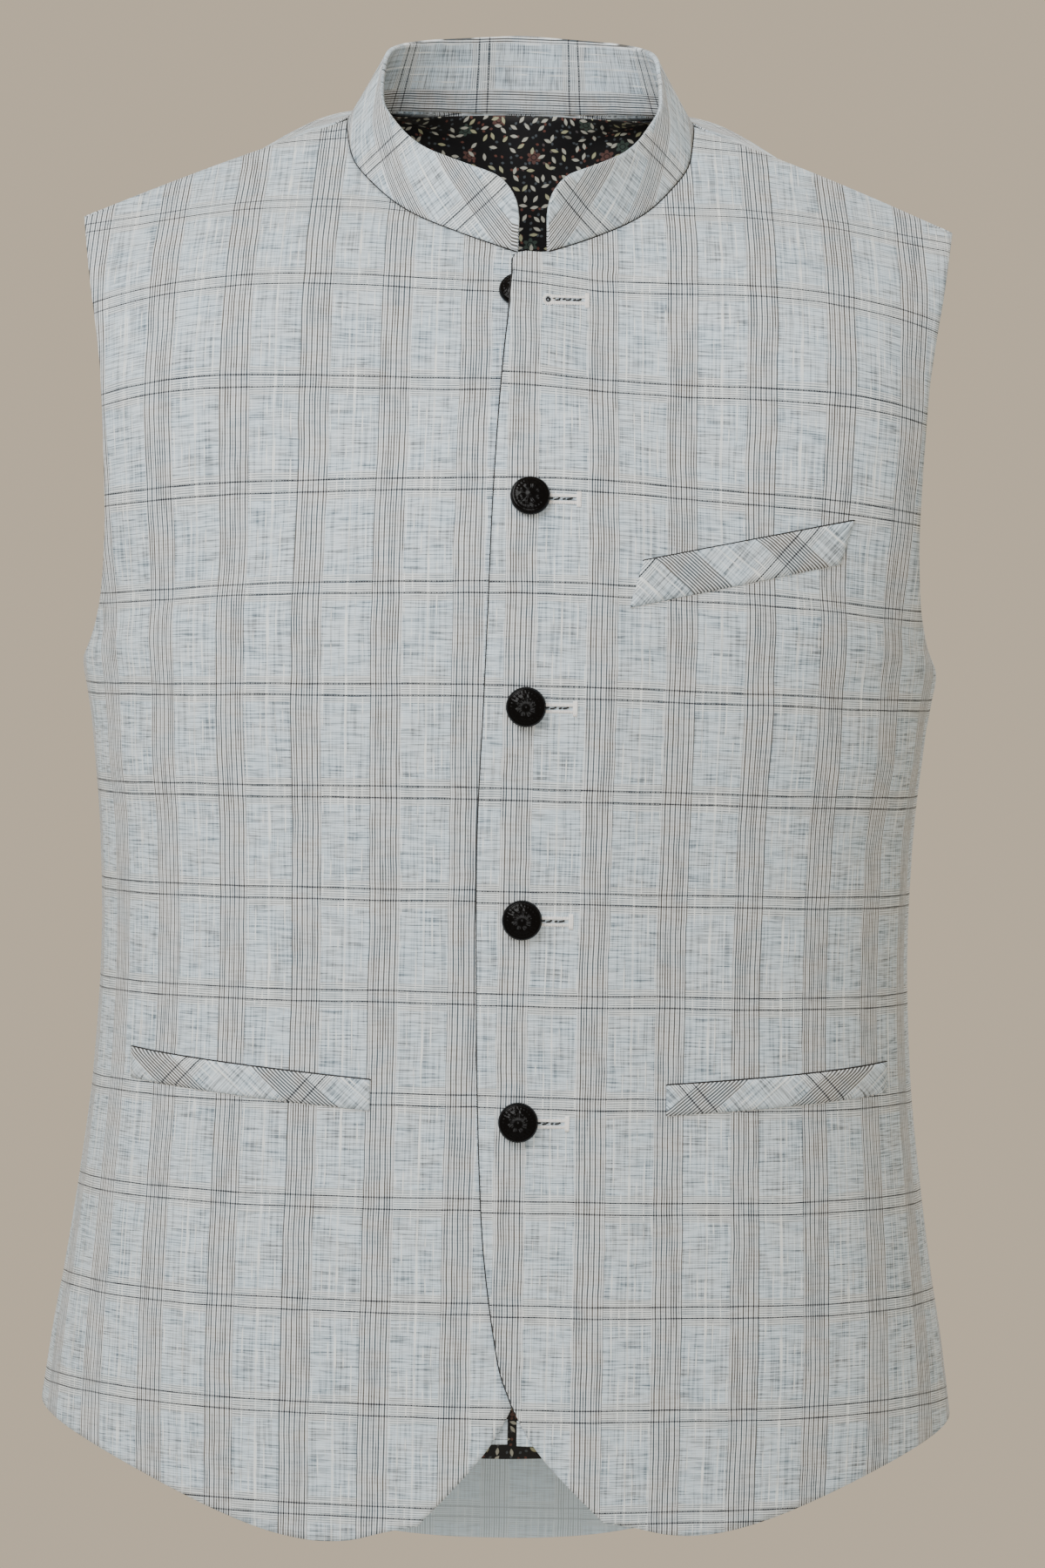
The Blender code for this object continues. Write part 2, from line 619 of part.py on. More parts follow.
def add_back(cloth, lining):
    """The back in one piece, with the facing along its hem and the lining above, inside it."""
    half, rows = back_half()
    outward = -normals(half)
    outward[:, 0, 0] = 0.0
    on_shoulder = half[-1, :, 0] >= NECKLINE[SHOULDER_NECK_ROW].x * CM * 0.98
    square_seams(outward, rows, on_shoulder)
    add_panel("back", both_halves(half), both_halves(outward), 0.0, WALL, cloth)
    top = int(np.argmax(rows >= FACING_ROW))
    depth = -(WALL + LINING_GAP)
    pieces = (
        ("back_facing", slice(0, top + 1), FACING_INSET, cloth),
        ("back_lining", slice(top, None), LINING_INSET, lining),
    )
    for name, part, shares, finish in pieces:
        inside = both_halves(inset(half[part], shares))
        facing_out = both_halves(inset(outward[part], shares))
        add_panel(name, inside, facing_out, depth, LINING_WALL, finish)


def add_buttons(faces, finish):
    """The top button on the under front, unfastened; the others over their buttonholes."""
    grid, outward = faces[RIGHT]
    point, axis = place_on(grid, outward, -TOP_BUTTON_X, TOP_BUTTON_Z)
    add_button("button_1", mirrored(point + axis * GAP), mirrored(axis), finish)
    grid, outward = faces[LEFT]
    for number, z in enumerate(FASTENED_BUTTON_Z, start=2):
        point, axis = place_on(grid, outward, CENTRE_FRONT, z)
        add_button("button_%d" % number, point + axis * GAP, axis, finish)


def build():
    for old in list(bpy.data.objects):
        bpy.data.objects.remove(old, do_unlink=True)
    faces = add_fronts(CLOTH)
    add_back(CLOTH, LINING)
    add_collar(CLOTH)
    for welt in WELTS:
        add_welt(welt, *faces[welt.side], CLOTH)
    add_buttons(faces, BUTTON)


build()
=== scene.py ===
"""The waistcoat's cloth, lining, buttons and sewing, fitted over its solids.

The tables and the functions of form are those of the solids. Here their grids are read more
finely, laid flat to find the run of the cloth's threads, and given creases and materials.
"""
import math
from collections import namedtuple

import bpy
import numpy as np
from mathutils import Matrix, Vector

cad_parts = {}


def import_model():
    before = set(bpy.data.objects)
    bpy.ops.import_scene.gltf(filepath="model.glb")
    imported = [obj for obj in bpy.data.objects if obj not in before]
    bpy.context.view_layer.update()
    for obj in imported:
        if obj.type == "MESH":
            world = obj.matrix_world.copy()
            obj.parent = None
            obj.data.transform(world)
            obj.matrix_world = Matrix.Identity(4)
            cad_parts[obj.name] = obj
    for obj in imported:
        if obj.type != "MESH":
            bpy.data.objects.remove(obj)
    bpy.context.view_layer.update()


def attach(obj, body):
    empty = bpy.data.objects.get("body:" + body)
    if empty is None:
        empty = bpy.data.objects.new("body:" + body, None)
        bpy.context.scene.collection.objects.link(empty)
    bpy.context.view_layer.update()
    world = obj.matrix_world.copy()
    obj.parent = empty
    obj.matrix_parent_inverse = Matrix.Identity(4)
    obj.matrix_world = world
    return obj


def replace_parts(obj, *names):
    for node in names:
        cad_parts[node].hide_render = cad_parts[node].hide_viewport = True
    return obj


CM = 0.01
MM = 0.001
LEFT = 1
RIGHT = -1
# The back, where a table gives a side.
BACK = 0

# Cloth thicknesses and the clearance between pieces that touch.
WALL = 1.8 * MM
COLLAR_WALL = 2.4 * MM
WELT_WALL = 1.2 * MM
GAP = 0.3 * MM
COLLAR_GAP = 0.6 * MM
LINING_GAP = 0.7 * MM
WELT_GAP = 0.6 * MM

# The buttons and the line they sit on.
CENTRE_FRONT = 0.85 * CM
BUTTON_RADIUS = 9.9 * MM
BUTTON_HEIGHT = 5.4 * MM
SHANK_RADIUS = 3.0 * MM
SHANK_HEIGHT = 1.6 * MM
TOP_BUTTON_X = 0.10 * CM
TOP_BUTTON_Z = -9.75 * CM
FASTENED_BUTTON_Z = (-19.75 * CM, -29.75 * CM, -40.0 * CM, -49.75 * CM)

# How far the overlapping front stands off the under front, and how the top of it stands open.
OVERLAP_LIFT = WALL + 2.2 * MM
OVERLAP_FLAT = 3.4 * CM
OVERLAP_END = 8.0 * CM
OPEN_LIFT = 10.5 * MM
OPEN_FROM = -17.0 * CM
OPEN_FULL = -10.8 * CM
OPEN_FLAT_X = 0.4 * CM
OPEN_END_X = 5.0 * CM

# The band collar.
COLLAR_CORNER = 1.75 * CM
COLLAR_END_SHIFT = 0.77 * CM

# The welts: corners in the front view, in centimetres (x towards the wearer's left, z up).
Welt = namedtuple("Welt", "name side inner_x inner_z outer_x outer_z height_inner height_outer slant")
WELTS = (
    Welt("breast_welt", LEFT, 5.75, -24.9, 16.0, -22.7, 2.2, 2.1, 0.62),
    Welt("lower_welt_left", LEFT, 8.0, -49.4, 18.95, -48.75, 1.45, 1.45, 0.0),
    Welt("lower_welt_right", RIGHT, 6.35, -49.4, 18.2, -48.6, 1.45, 1.45, 0.0),
)

# The self-fabric facing inside the back's hem ends at a row of the back, and the lining starts
# there.
FACING_ROW = 1

# Sections, all in centimetres. The side seam, from the hem up to the underarm.
SideSeam = namedtuple("SideSeam", "x y z")
SIDE_SEAM = (
    SideSeam(23.00, -9.6, -65.50),
    SideSeam(22.45, -9.6, -61.60),
    SideSeam(21.90, -9.5, -58.40),
    SideSeam(21.25, -9.5, -54.00),
    SideSeam(20.65, -9.4, -48.80),
    SideSeam(20.35, -9.3, -42.50),
    SideSeam(20.50, -9.4, -36.80),
    SideSeam(20.90, -9.6, -32.00),
    SideSeam(21.45, -9.8, -28.50),
)

# The neckline, from the nape round to the end of the collar at the centre front.
NeckPoint = namedtuple("NeckPoint", "x y z")
NECKLINE = (
    NeckPoint(0.00, 0.00, 0.00),
    NeckPoint(3.00, -0.25, 0.00),
    NeckPoint(5.90, -1.45, -0.05),
    NeckPoint(8.00, -3.40, -0.25),
    NeckPoint(8.80, -5.60, -0.80),
    NeckPoint(8.60, -7.60, -2.60),
    NeckPoint(7.25, -9.90, -4.50),
    NeckPoint(5.70, -11.30, -5.75),
    NeckPoint(4.00, -12.35, -6.55),
    NeckPoint(2.30, -13.10, -7.20),
    NeckPoint(0.77, -13.50, -7.70),
)
SHOULDER_NECK_ROW = 4
NECK_END_ROW = len(NECKLINE) - 1

# The collar's height in centimetres, and its lean towards the neck in degrees, by neckline row.
CollarRow = namedtuple("CollarRow", "neck_row height lean")
COLLAR = (
    CollarRow(0, 3.95, 10),
    CollarRow(2, 3.75, 22),
    CollarRow(4, 3.35, 32),
    CollarRow(6, 3.40, 22),
    CollarRow(8, 3.45, 10),
    CollarRow(10, 3.45, 3),
)

# The front: its edge (how far it runs past the centre front), its armhole or side seam, and
# the plan of the section between them. Angles turn from +X towards +Y, in degrees.
FrontRow = namedtuple("FrontRow", "edge_past y z start end reach_in reach_out dip")
FRONT_EDGE = (
    FrontRow(-4.50, -22.9, -69.05, 0, 88, 0.48, 0.31, -2.30),
    FrontRow(-0.55, -22.9, -64.60, 0, 88, 0.50, 0.33, -1.70),
    FrontRow(0.78, -22.8, -61.00, 0, 88, 0.52, 0.35, -0.90),
    FrontRow(1.50, -22.7, -56.00, 0, 88, 0.52, 0.36, -0.40),
    FrontRow(1.87, -22.5, -50.00, 0, 88, 0.52, 0.36, -0.20),
    FrontRow(2.08, -22.4, -43.00, 0, 88, 0.52, 0.35, 0.00),
    FrontRow(2.17, -22.5, -36.00, 0, 88, 0.52, 0.34, 0.00),
    FrontRow(1.98, -22.7, -29.70, 0, 88, 0.52, 0.34, 0.00),
    FrontRow(1.85, -22.4, -24.80, 0, 88, 0.50, 0.33, 0.00),
    FrontRow(1.76, -21.5, -20.80, 0, 74, 0.48, 0.30, 0.00),
    FrontRow(1.62, -20.0, -17.20, -2, 62, 0.44, 0.30, 0.00),
    FrontRow(1.42, -18.1, -13.80, -4, 54, 0.42, 0.30, 0.00),
    FrontRow(1.14, -15.9, -10.60, -8, 48, 0.40, 0.32, 0.00),
    FrontRow(0.85, -13.6, -7.75, -13, 42, 0.38, 0.34, 0.00),
)
# The wearer's right front hangs a little lower at its hem.
RIGHT_HEM = FrontRow(-4.50, -22.9, -69.45, 0, 88, 0.48, 0.31, -2.65)
FrontNeckRow = namedtuple("FrontNeckRow", "neck_row start end reach_in reach_out dip")
FRONT_NECK = (
    FrontNeckRow(NECK_END_ROW, -15, 40, 0.38, 0.34, 0.00),
    FrontNeckRow(8, -22, 30, 0.36, 0.34, 0.10),
    FrontNeckRow(6, -22, 14, 0.34, 0.34, 0.20),
    FrontNeckRow(5, -18, -4, 0.33, 0.33, 0.20),
    FrontNeckRow(SHOULDER_NECK_ROW, -12, -12, 0.33, 0.33, 0.15),
)
ArmPoint = namedtuple("ArmPoint", "x y z")
FRONT_ARMHOLE = (
    ArmPoint(20.85, -12.5, -27.00),
    ArmPoint(20.30, -14.3, -24.80),
    ArmPoint(20.10, -15.2, -21.60),
    ArmPoint(20.20, -15.2, -18.20),
    ArmPoint(20.40, -14.7, -15.00),
    ArmPoint(20.50, -14.3, -13.90),
    ArmPoint(20.85, -13.2, -11.60),
    ArmPoint(21.25, -11.8, -9.40),
    ArmPoint(21.55, -10.2, -7.70),
    ArmPoint(21.85, -8.3, -6.05),
)

# The back, from its hem up to the row below the neckline and shoulder seams.
BackRow = namedtuple("BackRow", "y z start end reach_in reach_out rise")
BACK_CENTRE = (
    BackRow(3.1, -74.80, 0, -88, 0.55, 0.36, 0.0),
    BackRow(3.0, -69.80, 0, -88, 0.55, 0.36, 0.0),
    BackRow(2.8, -66.20, 0, -88, 0.55, 0.36, 0.0),
    BackRow(2.2, -59.80, 0, -88, 0.55, 0.36, 0.0),
    BackRow(1.4, -52.50, 0, -88, 0.54, 0.35, 0.0),
    BackRow(0.8, -44.50, 0, -88, 0.53, 0.35, 0.0),
    BackRow(1.4, -36.80, 0, -88, 0.53, 0.35, 0.0),
    BackRow(2.3, -30.50, 0, -88, 0.53, 0.35, 0.0),
    BackRow(2.9, -25.50, 0, -88, 0.52, 0.34, 0.0),
    BackRow(3.2, -21.50, 0, -74, 0.50, 0.32, 0.0),
    BackRow(3.3, -17.50, 0, -60, 0.48, 0.30, 0.2),
    BackRow(3.1, -13.50, 0, -48, 0.44, 0.30, 0.6),
    BackRow(2.6, -9.80, 0, -38, 0.40, 0.32, 1.2),
    BackRow(1.9, -6.20, 0, -32, 0.36, 0.34, 2.1),
    BackRow(1.0, -3.00, 0, -26, 0.34, 0.34, 3.7),
)
BACK_ARMHOLE = (
    ArmPoint(20.80, -6.3, -26.40),
    ArmPoint(20.40, -4.3, -23.30),
    ArmPoint(20.20, -3.3, -19.50),
    ArmPoint(20.40, -3.4, -15.50),
    ArmPoint(20.90, -4.4, -11.60),
    ArmPoint(21.40, -6.1, -8.40),
)

# How finely the sections are read.
FRONT_COLUMNS = 15
BACK_COLUMNS = 12
COLLAR_ROWS = 3
COLLAR_COLUMNS = 16
COLLAR_END_STEPS = (1.15, 0.78, 0.47, 0.23, 0.07, 0.0)
SECTION_SAMPLES = 60
EDGE_SAMPLES = 4

# How a section's height shifts along it: by how much, where most, how sharply, how soon it
# drifts from its inner end's height to its outer end's, and how level it ends there.
Swell = namedtuple("Swell", "amount peak power drift level")
# They change by the row of the sections, counted from the hem.
SwellRow = namedtuple("SwellRow", "row peak power drift level")
FRONT_SWELLS = (
    SwellRow(0, 0.50, 2.2, 0.55, 0.0),
    SwellRow(2, 0.50, 1.2, 1.10, 0.0),
    SwellRow(8, 0.50, 1.0, 1.30, 0.0),
    SwellRow(14, 1.00, 1.0, 1.10, 0.0),
    SwellRow(18, 1.00, 1.0, 1.00, 0.0),
)
BACK_SWELLS = (
    SwellRow(0, 0.76, 2.0, 1.25, 1.0),
    SwellRow(3, 0.76, 2.0, 2.00, 0.0),
)
UNDERARM_ROW = len(SIDE_SEAM) - 1

# Into how many rows each interval between sections is cut. Both panels share the side seam's.
SEAM_SPLITS = (3, 2, 1, 1, 1, 1, 1, 2)
ARMHOLE_SPLITS = (2, 2, 2, 2, 2)
TAB_SPLITS = (1,)
NECK_SPLITS = (3, 3, 3, 3)
BACK_UPPER_SPLITS = (2, 2, 2, 2, 2, 2, 2)


def spline(points, at):
    """Read a smooth curve through the points, without overshoot, at each row number in at."""
    points = np.asarray(points, float)
    at = np.atleast_1d(np.asarray(at, float))
    step = np.diff(points, axis=0)
    slope = np.zeros_like(points)
    before, after = step[:-1], step[1:]
    same_way = before * after > 0
    total = np.where(same_way, before + after, 1.0)
    slope[1:-1] = np.where(same_way, 2.0 * before * after / total, 0.0)
    slope[0] = 1.5 * step[0] - 0.5 * slope[1]
    slope[-1] = 1.5 * step[-1] - 0.5 * slope[-2]
    row = np.clip(at.astype(int), 0, len(points) - 2)
    t = (at - row)[:, None]
    start, end = points[row], points[row + 1]
    return (
        start * (1 + 2 * t) * (1 - t) ** 2
        + slope[row] * t * (1 - t) ** 2
        + end * t * t * (3 - 2 * t)
        + slope[row + 1] * t * t * (t - 1)
    )


def spread(curve, columns):
    """Space a curve's points evenly along its length."""
    length = np.concatenate([[0.0], np.cumsum(np.linalg.norm(np.diff(curve, axis=0), axis=1))])
    wanted = np.linspace(0.0, length[-1], columns + 1)
    return np.stack([np.interp(wanted, length, curve[:, axis]) for axis in range(3)], axis=1)


def smoothstep(low, high, value):
    t = np.clip((value - low) / (high - low), 0.0, 1.0)
    return t * t * (3.0 - 2.0 * t)


def neck_point(row, side):
    """A point of the neckline, on the wearer's left or right, at a row of its table."""
    point = spline(np.array(NECKLINE) * CM, row)
    toward_end = smoothstep(SHOULDER_NECK_ROW, NECK_END_ROW, np.atleast_1d(row))
    point[:, 0] += side * COLLAR_END_SHIFT * toward_end
    return point


def plan_curve(inner, outer, row, edge_x):
    """A section seen from above, from edge_x to the side, and how many points it has past the
    centre, where it mirrors itself."""
    chord = math.hypot(outer[0] - inner[0], outer[1] - inner[1])
    leave = np.array([math.cos(math.radians(row.start)), math.sin(math.radians(row.start))])
    arrive = np.array([math.cos(math.radians(row.end)), math.sin(math.radians(row.end))])
    near = inner[:2] + leave * row.reach_in * chord
    far = outer[:2] - arrive * row.reach_out * chord
    t = np.linspace(0.0, 1.0, SECTION_SAMPLES)[:, None]
    plan = (
        inner[:2] * (1 - t) ** 3
        + near * 3 * t * (1 - t) ** 2
        + far * 3 * t * t * (1 - t)
        + outer[:2] * t ** 3
    )
    if edge_x < inner[0]:
        past = np.linspace(inner[0] - edge_x, 0.0, EDGE_SAMPLES + 1)[:-1]
        past_y = np.interp(inner[0] + past, plan[:, 0], plan[:, 1])
        return np.vstack([np.column_stack([inner[0] - past, past_y]), plan]), EDGE_SAMPLES
    y_at_edge = np.interp(edge_x, plan[:, 0], plan[:, 1])
    return np.vstack([[edge_x, y_at_edge], plan[plan[:, 0] > edge_x + 0.1 * MM]]), 0


def section(inner, outer, row, edge_x, swell, columns):
    """One section from its edge to its outer end, its height shifting and swelling along it."""
    plan, past = plan_curve(np.array(inner), np.array(outer), row, edge_x)
    length = np.concatenate([[0.0], np.cumsum(np.linalg.norm(np.diff(plan, axis=0), axis=1))])
    run = np.clip((length - length[past]) / (length[-1] - length[past]), 0.0, 1.0)
    drift = run ** swell.drift
    drift += (0.5 - 0.5 * np.cos(math.pi * drift) - drift) * swell.level
    height = inner[2] + (outer[2] - inner[2]) * drift
    height = height + swell.amount * CM * np.sin(math.pi * run ** swell.peak) ** swell.power
    return spread(np.column_stack([plan, height]), columns)


def loft(sections, splits):
    """Join sections into a grid of points, each interval cut into its number of splits."""
    rows = [0.0]
    for interval, split in enumerate(splits):
        rows += [interval + (step + 1) / split for step in range(split)]
    stack = np.array(sections)
    flat = stack.reshape(len(stack), -1)
    return spline(flat, rows).reshape(len(rows), -1, 3), np.array(rows)


def outer_ends(armhole):
    return [np.array(point) * CM for point in SIDE_SEAM + armhole]


def draw_back(edge, inside):
    """Move a seam's points half a gap towards the row inside it."""
    away = inside - edge
    return edge + away / np.linalg.norm(away, axis=1)[:, None] * GAP / 2


def seat_edges(grid, rows):
    """Put the side seam's column on its own curve and clear the side and shoulder seams."""
    on_side = rows <= UNDERARM_ROW
    grid[on_side, -1] = spline(np.array(SIDE_SEAM) * CM, rows[on_side])
    grid[:, -1] = draw_back(grid[:, -1], grid[:, -2])
    grid[-1] = draw_back(grid[-1], grid[-2])
    return grid


def overlap_lift(x, z):
    """How far the wearer's left front stands forward: at the overlap, and its open top corner."""
    past = np.abs(x - CENTRE_FRONT)
    over = OVERLAP_LIFT * (1.0 - smoothstep(OVERLAP_FLAT, OVERLAP_END, past))
    top = smoothstep(OPEN_FROM, OPEN_FULL, z)
    return over + OPEN_LIFT * top * (1.0 - smoothstep(OPEN_FLAT_X, OPEN_END_X, x))


def swell_at(amount, row, table):
    """How the section at a row of a panel swells, read between the rows of its table."""
    known, *columns = zip(*table)
    return Swell(amount, *[np.interp(row, known, column) for column in columns])


def front_grid(side):
    """The outer face of one front as a grid, hem to shoulder and edge to side, as if at +X."""
    ends = outer_ends(FRONT_ARMHOLE)
    hem = FRONT_EDGE[:1] if side == LEFT else (RIGHT_HEM,)
    sections = []
    for row, outer in zip(hem + FRONT_EDGE[1:], ends):
        inner = (side * CENTRE_FRONT, row.y * CM, row.z * CM)
        edge_x = inner[0] - row.edge_past * CM
        swell = swell_at(row.dip, len(sections), FRONT_SWELLS)
        sections.append(section(inner, outer, row, edge_x, swell, FRONT_COLUMNS))
    for row, outer in zip(FRONT_NECK, ends[len(FRONT_EDGE):]):
        inner = neck_point(row.neck_row, side)[0]
        swell = swell_at(row.dip, len(sections), FRONT_SWELLS)
        sections.append(section(inner, outer, row, inner[0], swell, FRONT_COLUMNS))
    neck_start = len(FRONT_EDGE)
    splits = SEAM_SPLITS + ARMHOLE_SPLITS + TAB_SPLITS + NECK_SPLITS
    grid, rows = loft(sections, splits)
    on_neck = rows >= neck_start
    neck_rows = np.interp(rows[on_neck], range(neck_start, neck_start + len(FRONT_NECK)),
                          [row.neck_row for row in FRONT_NECK])
    grid[on_neck, 0] = neck_point(neck_rows, side)
    grid = seat_edges(grid, rows)
    if side == LEFT:
        grid[:, :, 1] -= overlap_lift(grid[:, :, 0], grid[:, :, 2])
    return grid, rows


def back_half():
    """The outer face of half the back, hem to neck and centre back to side."""
    ends = outer_ends(BACK_ARMHOLE)
    sections = []
    for row, outer in zip(BACK_CENTRE, ends):
        inner = (0.0, row.y * CM, row.z * CM)
        swell = swell_at(row.rise, len(sections), BACK_SWELLS)
        sections.append(section(inner, outer, row, 0.0, swell, BACK_COLUMNS))
    neck = neck_point(np.linspace(0, SHOULDER_NECK_ROW, SECTION_SAMPLES), LEFT)
    tip = np.array(FRONT_ARMHOLE[-1]) * CM
    sections.append(spread(np.vstack([neck, tip]), BACK_COLUMNS))
    grid, rows = loft(sections, SEAM_SPLITS + BACK_UPPER_SPLITS)
    return seat_edges(grid, rows), rows


def normals(grid):
    """Unit normals of a grid, towards -Y where its columns run towards +X and its rows up."""
    across = np.gradient(grid, axis=1)
    up = np.gradient(grid, axis=0)
    normal = np.cross(across, up)
    return normal / np.linalg.norm(normal, axis=2)[:, :, None]


def mirrored(grid):
    return grid * np.array([-1.0, 1.0, 1.0])


def both_halves(half):
    return np.concatenate([mirrored(half)[:, :0:-1], half], axis=1)


def place_on(grid, outward, x, z):
    """The point of a front's outer face seen at x and z from the front, and its normal."""
    gap = (grid[:, :, 0] - x) ** 2 + (grid[:, :, 2] - z) ** 2
    row, column = np.unravel_index(np.argmin(gap), gap.shape)
    row = min(max(row, 1), grid.shape[0] - 2)
    column = min(max(column, 1), grid.shape[1] - 2)
    place = np.array([float(row), float(column)])
    for _ in range(12):
        here = read_grid(grid, place)
        step_row = read_grid(grid, place + (0.01, 0.0)) - here
        step_column = read_grid(grid, place + (0.0, 0.01)) - here
        slopes = np.array([[step_row[0], step_column[0]], [step_row[2], step_column[2]]]) * 100.0
        missing = np.array([x - here[0], z - here[2]])
        place = place + np.linalg.solve(slopes, missing)
        place = np.clip(place, 0.0, np.array(grid.shape[:2]) - 1.02)
    normal = read_grid(outward, place)
    return read_grid(grid, place), normal / np.linalg.norm(normal)


def read_grid(grid, place):
    """A value between a grid's points, on the same triangles as the walls have."""
    row, column = int(place[0]), int(place[1])
    down, across = place[0] - row, place[1] - column
    low, low_next = grid[row, column], grid[row, column + 1]
    high, high_next = grid[row + 1, column], grid[row + 1, column + 1]
    if across >= down:
        return low + (low_next - low) * across + (high_next - low_next) * down
    return low + (high - low) * down + (high_next - high) * across


def collar_line(side):
    """The collar's foot from the nape to one end, its lean and its height at each point."""
    near_end = NECK_END_ROW - np.array(COLLAR_END_STEPS)
    rows = np.concatenate([np.linspace(0.0, near_end[0], COLLAR_COLUMNS)[:-1], near_end])
    foot = neck_point(rows, side)
    if side == LEFT:
        in_front = rows > SHOULDER_NECK_ROW
        foot[in_front, 1] -= overlap_lift(foot[in_front, 0], foot[in_front, 2])
    length = np.concatenate([[0.0], np.cumsum(np.linalg.norm(np.diff(foot, axis=0), axis=1))])
    height = np.interp(rows, [row.neck_row for row in COLLAR], [row.height * CM for row in COLLAR])
    lean = np.radians(np.interp(rows, [row.neck_row for row in COLLAR], [row.lean for row in COLLAR]))
    short = np.clip(COLLAR_CORNER - (length[-1] - length), 0.0, COLLAR_CORNER)
    height = height - (COLLAR_CORNER - np.sqrt(COLLAR_CORNER ** 2 - short ** 2))
    return foot, lean, height


# The shells of the scene: spacing of their points, thicknesses and the depth of each face.
FRONT_SPACING = 4.0 * MM
BACK_SPACING = 5.0 * MM
SHELL = 1.2 * MM
LINING_DEPTH = 1.35 * MM
LINING_SHELL = 0.35 * MM
ROLL = 0.35 * MM
SEAM_SINK = 0.35 * MM
FACING_WIDTH = 6.5 * CM
FACING_HEM = 3.0 * CM

# The cloth's check, in millimetres: the bands of its warp and the pairs of dark lines across.
BAND_PITCH = 39.2
BAND_HALF = 7.6
BAND_LINE = 1.30
GAP_LINE = 1.10
WARP_LINE_HALF = 0.38
GAP_LINE_HALF = 0.27
PALE_LINE_HALF = 0.45
PAIR_PITCH = 49.4
PAIR_OFFSET = 2.8
PAIR_LINE_HALF = 0.37
PAIR_ZONE = 6.5
LEFT_BAND = -3.5
RIGHT_BAND = -10.7
BACK_BAND = 0.0
PAIR_PHASE = -289.7
COLLAR_BAND = 4.5
# Pressing and the shoulder's slope stretch the check up a front: where its cloth lies when it
# is laid flat, and where that falls in the check, in millimetres up the front.
FrontRun = namedtuple("FrontRun", "laid woven")
FRONT_RUN = (
    FrontRun(-760.0, -757.0),
    FrontRun(-640.0, -637.5),
    FrontRun(-490.0, -490.0),
    FrontRun(-215.0, -215.0),
    FrontRun(-135.0, -141.5),
    FrontRun(-77.0, -92.0),
    FrontRun(80.0, 42.0),
)
COLLAR_PAIR = 0.0
# The collar's cloth turns off its length by so many degrees, between two shares of its half.
COLLAR_TURN = 40.0
COLLAR_TURN_SPAN = (0.20, 0.85)
COLLAR_SAMPLES = 2000
# The outside and the inside of the collar are cut apart, so their checks don't meet.
COLLAR_OUTSIDE_EASE = 0.946
COLLAR_INSIDE_SHIFT = 20.8 * MM
COLLAR_SPACING = 2.5 * MM
COLLAR_POINTS_UP = 16
WELT_TURN = 41.0
# Laying flat: the rounds, how far each one moves the points, how much of the heights it
# starts from, and the least squared rise from a row to the next, in square metres.
FLATTEN_ROUNDS = 1200
FLATTEN_STEP = 1.6
LEVEL_SHARE = 0.9
LEAST_RISE_SQUARED = 1e-8


def read_curve(values, places):
    """Read a row of values at fractional places, on a smooth curve through them."""
    padded = np.concatenate([[2 * values[0] - values[1]], values, [2 * values[-1] - values[-2]]])
    first = np.clip(places.astype(int), 0, len(values) - 2)
    t = (places - first).reshape((-1,) + (1,) * (values.ndim - 1))
    before, start, end, after = (padded[first + step] for step in range(4))
    return 0.5 * (
        2 * start
        + (end - before) * t
        + (2 * before - 5 * start + 4 * end - after) * t * t
        + (3 * start - before - 3 * end + after) * t ** 3
    )


def even_places(grid, spacing):
    """Places along a grid's first axis that are about evenly spaced on the cloth."""
    step = np.linalg.norm(np.diff(grid, axis=0), axis=2).mean(axis=1)
    length = np.concatenate([[0.0], np.cumsum(step)])
    count = int(round(length[-1] / spacing))
    return np.interp(np.linspace(0.0, length[-1], count + 1), length, range(len(length)))


def refine(values, down, across):
    """Read a grid's values at finer places down and across it."""
    fine = read_curve(values, down)
    return np.swapaxes(read_curve(np.swapaxes(fine, 0, 1), across), 0, 1)


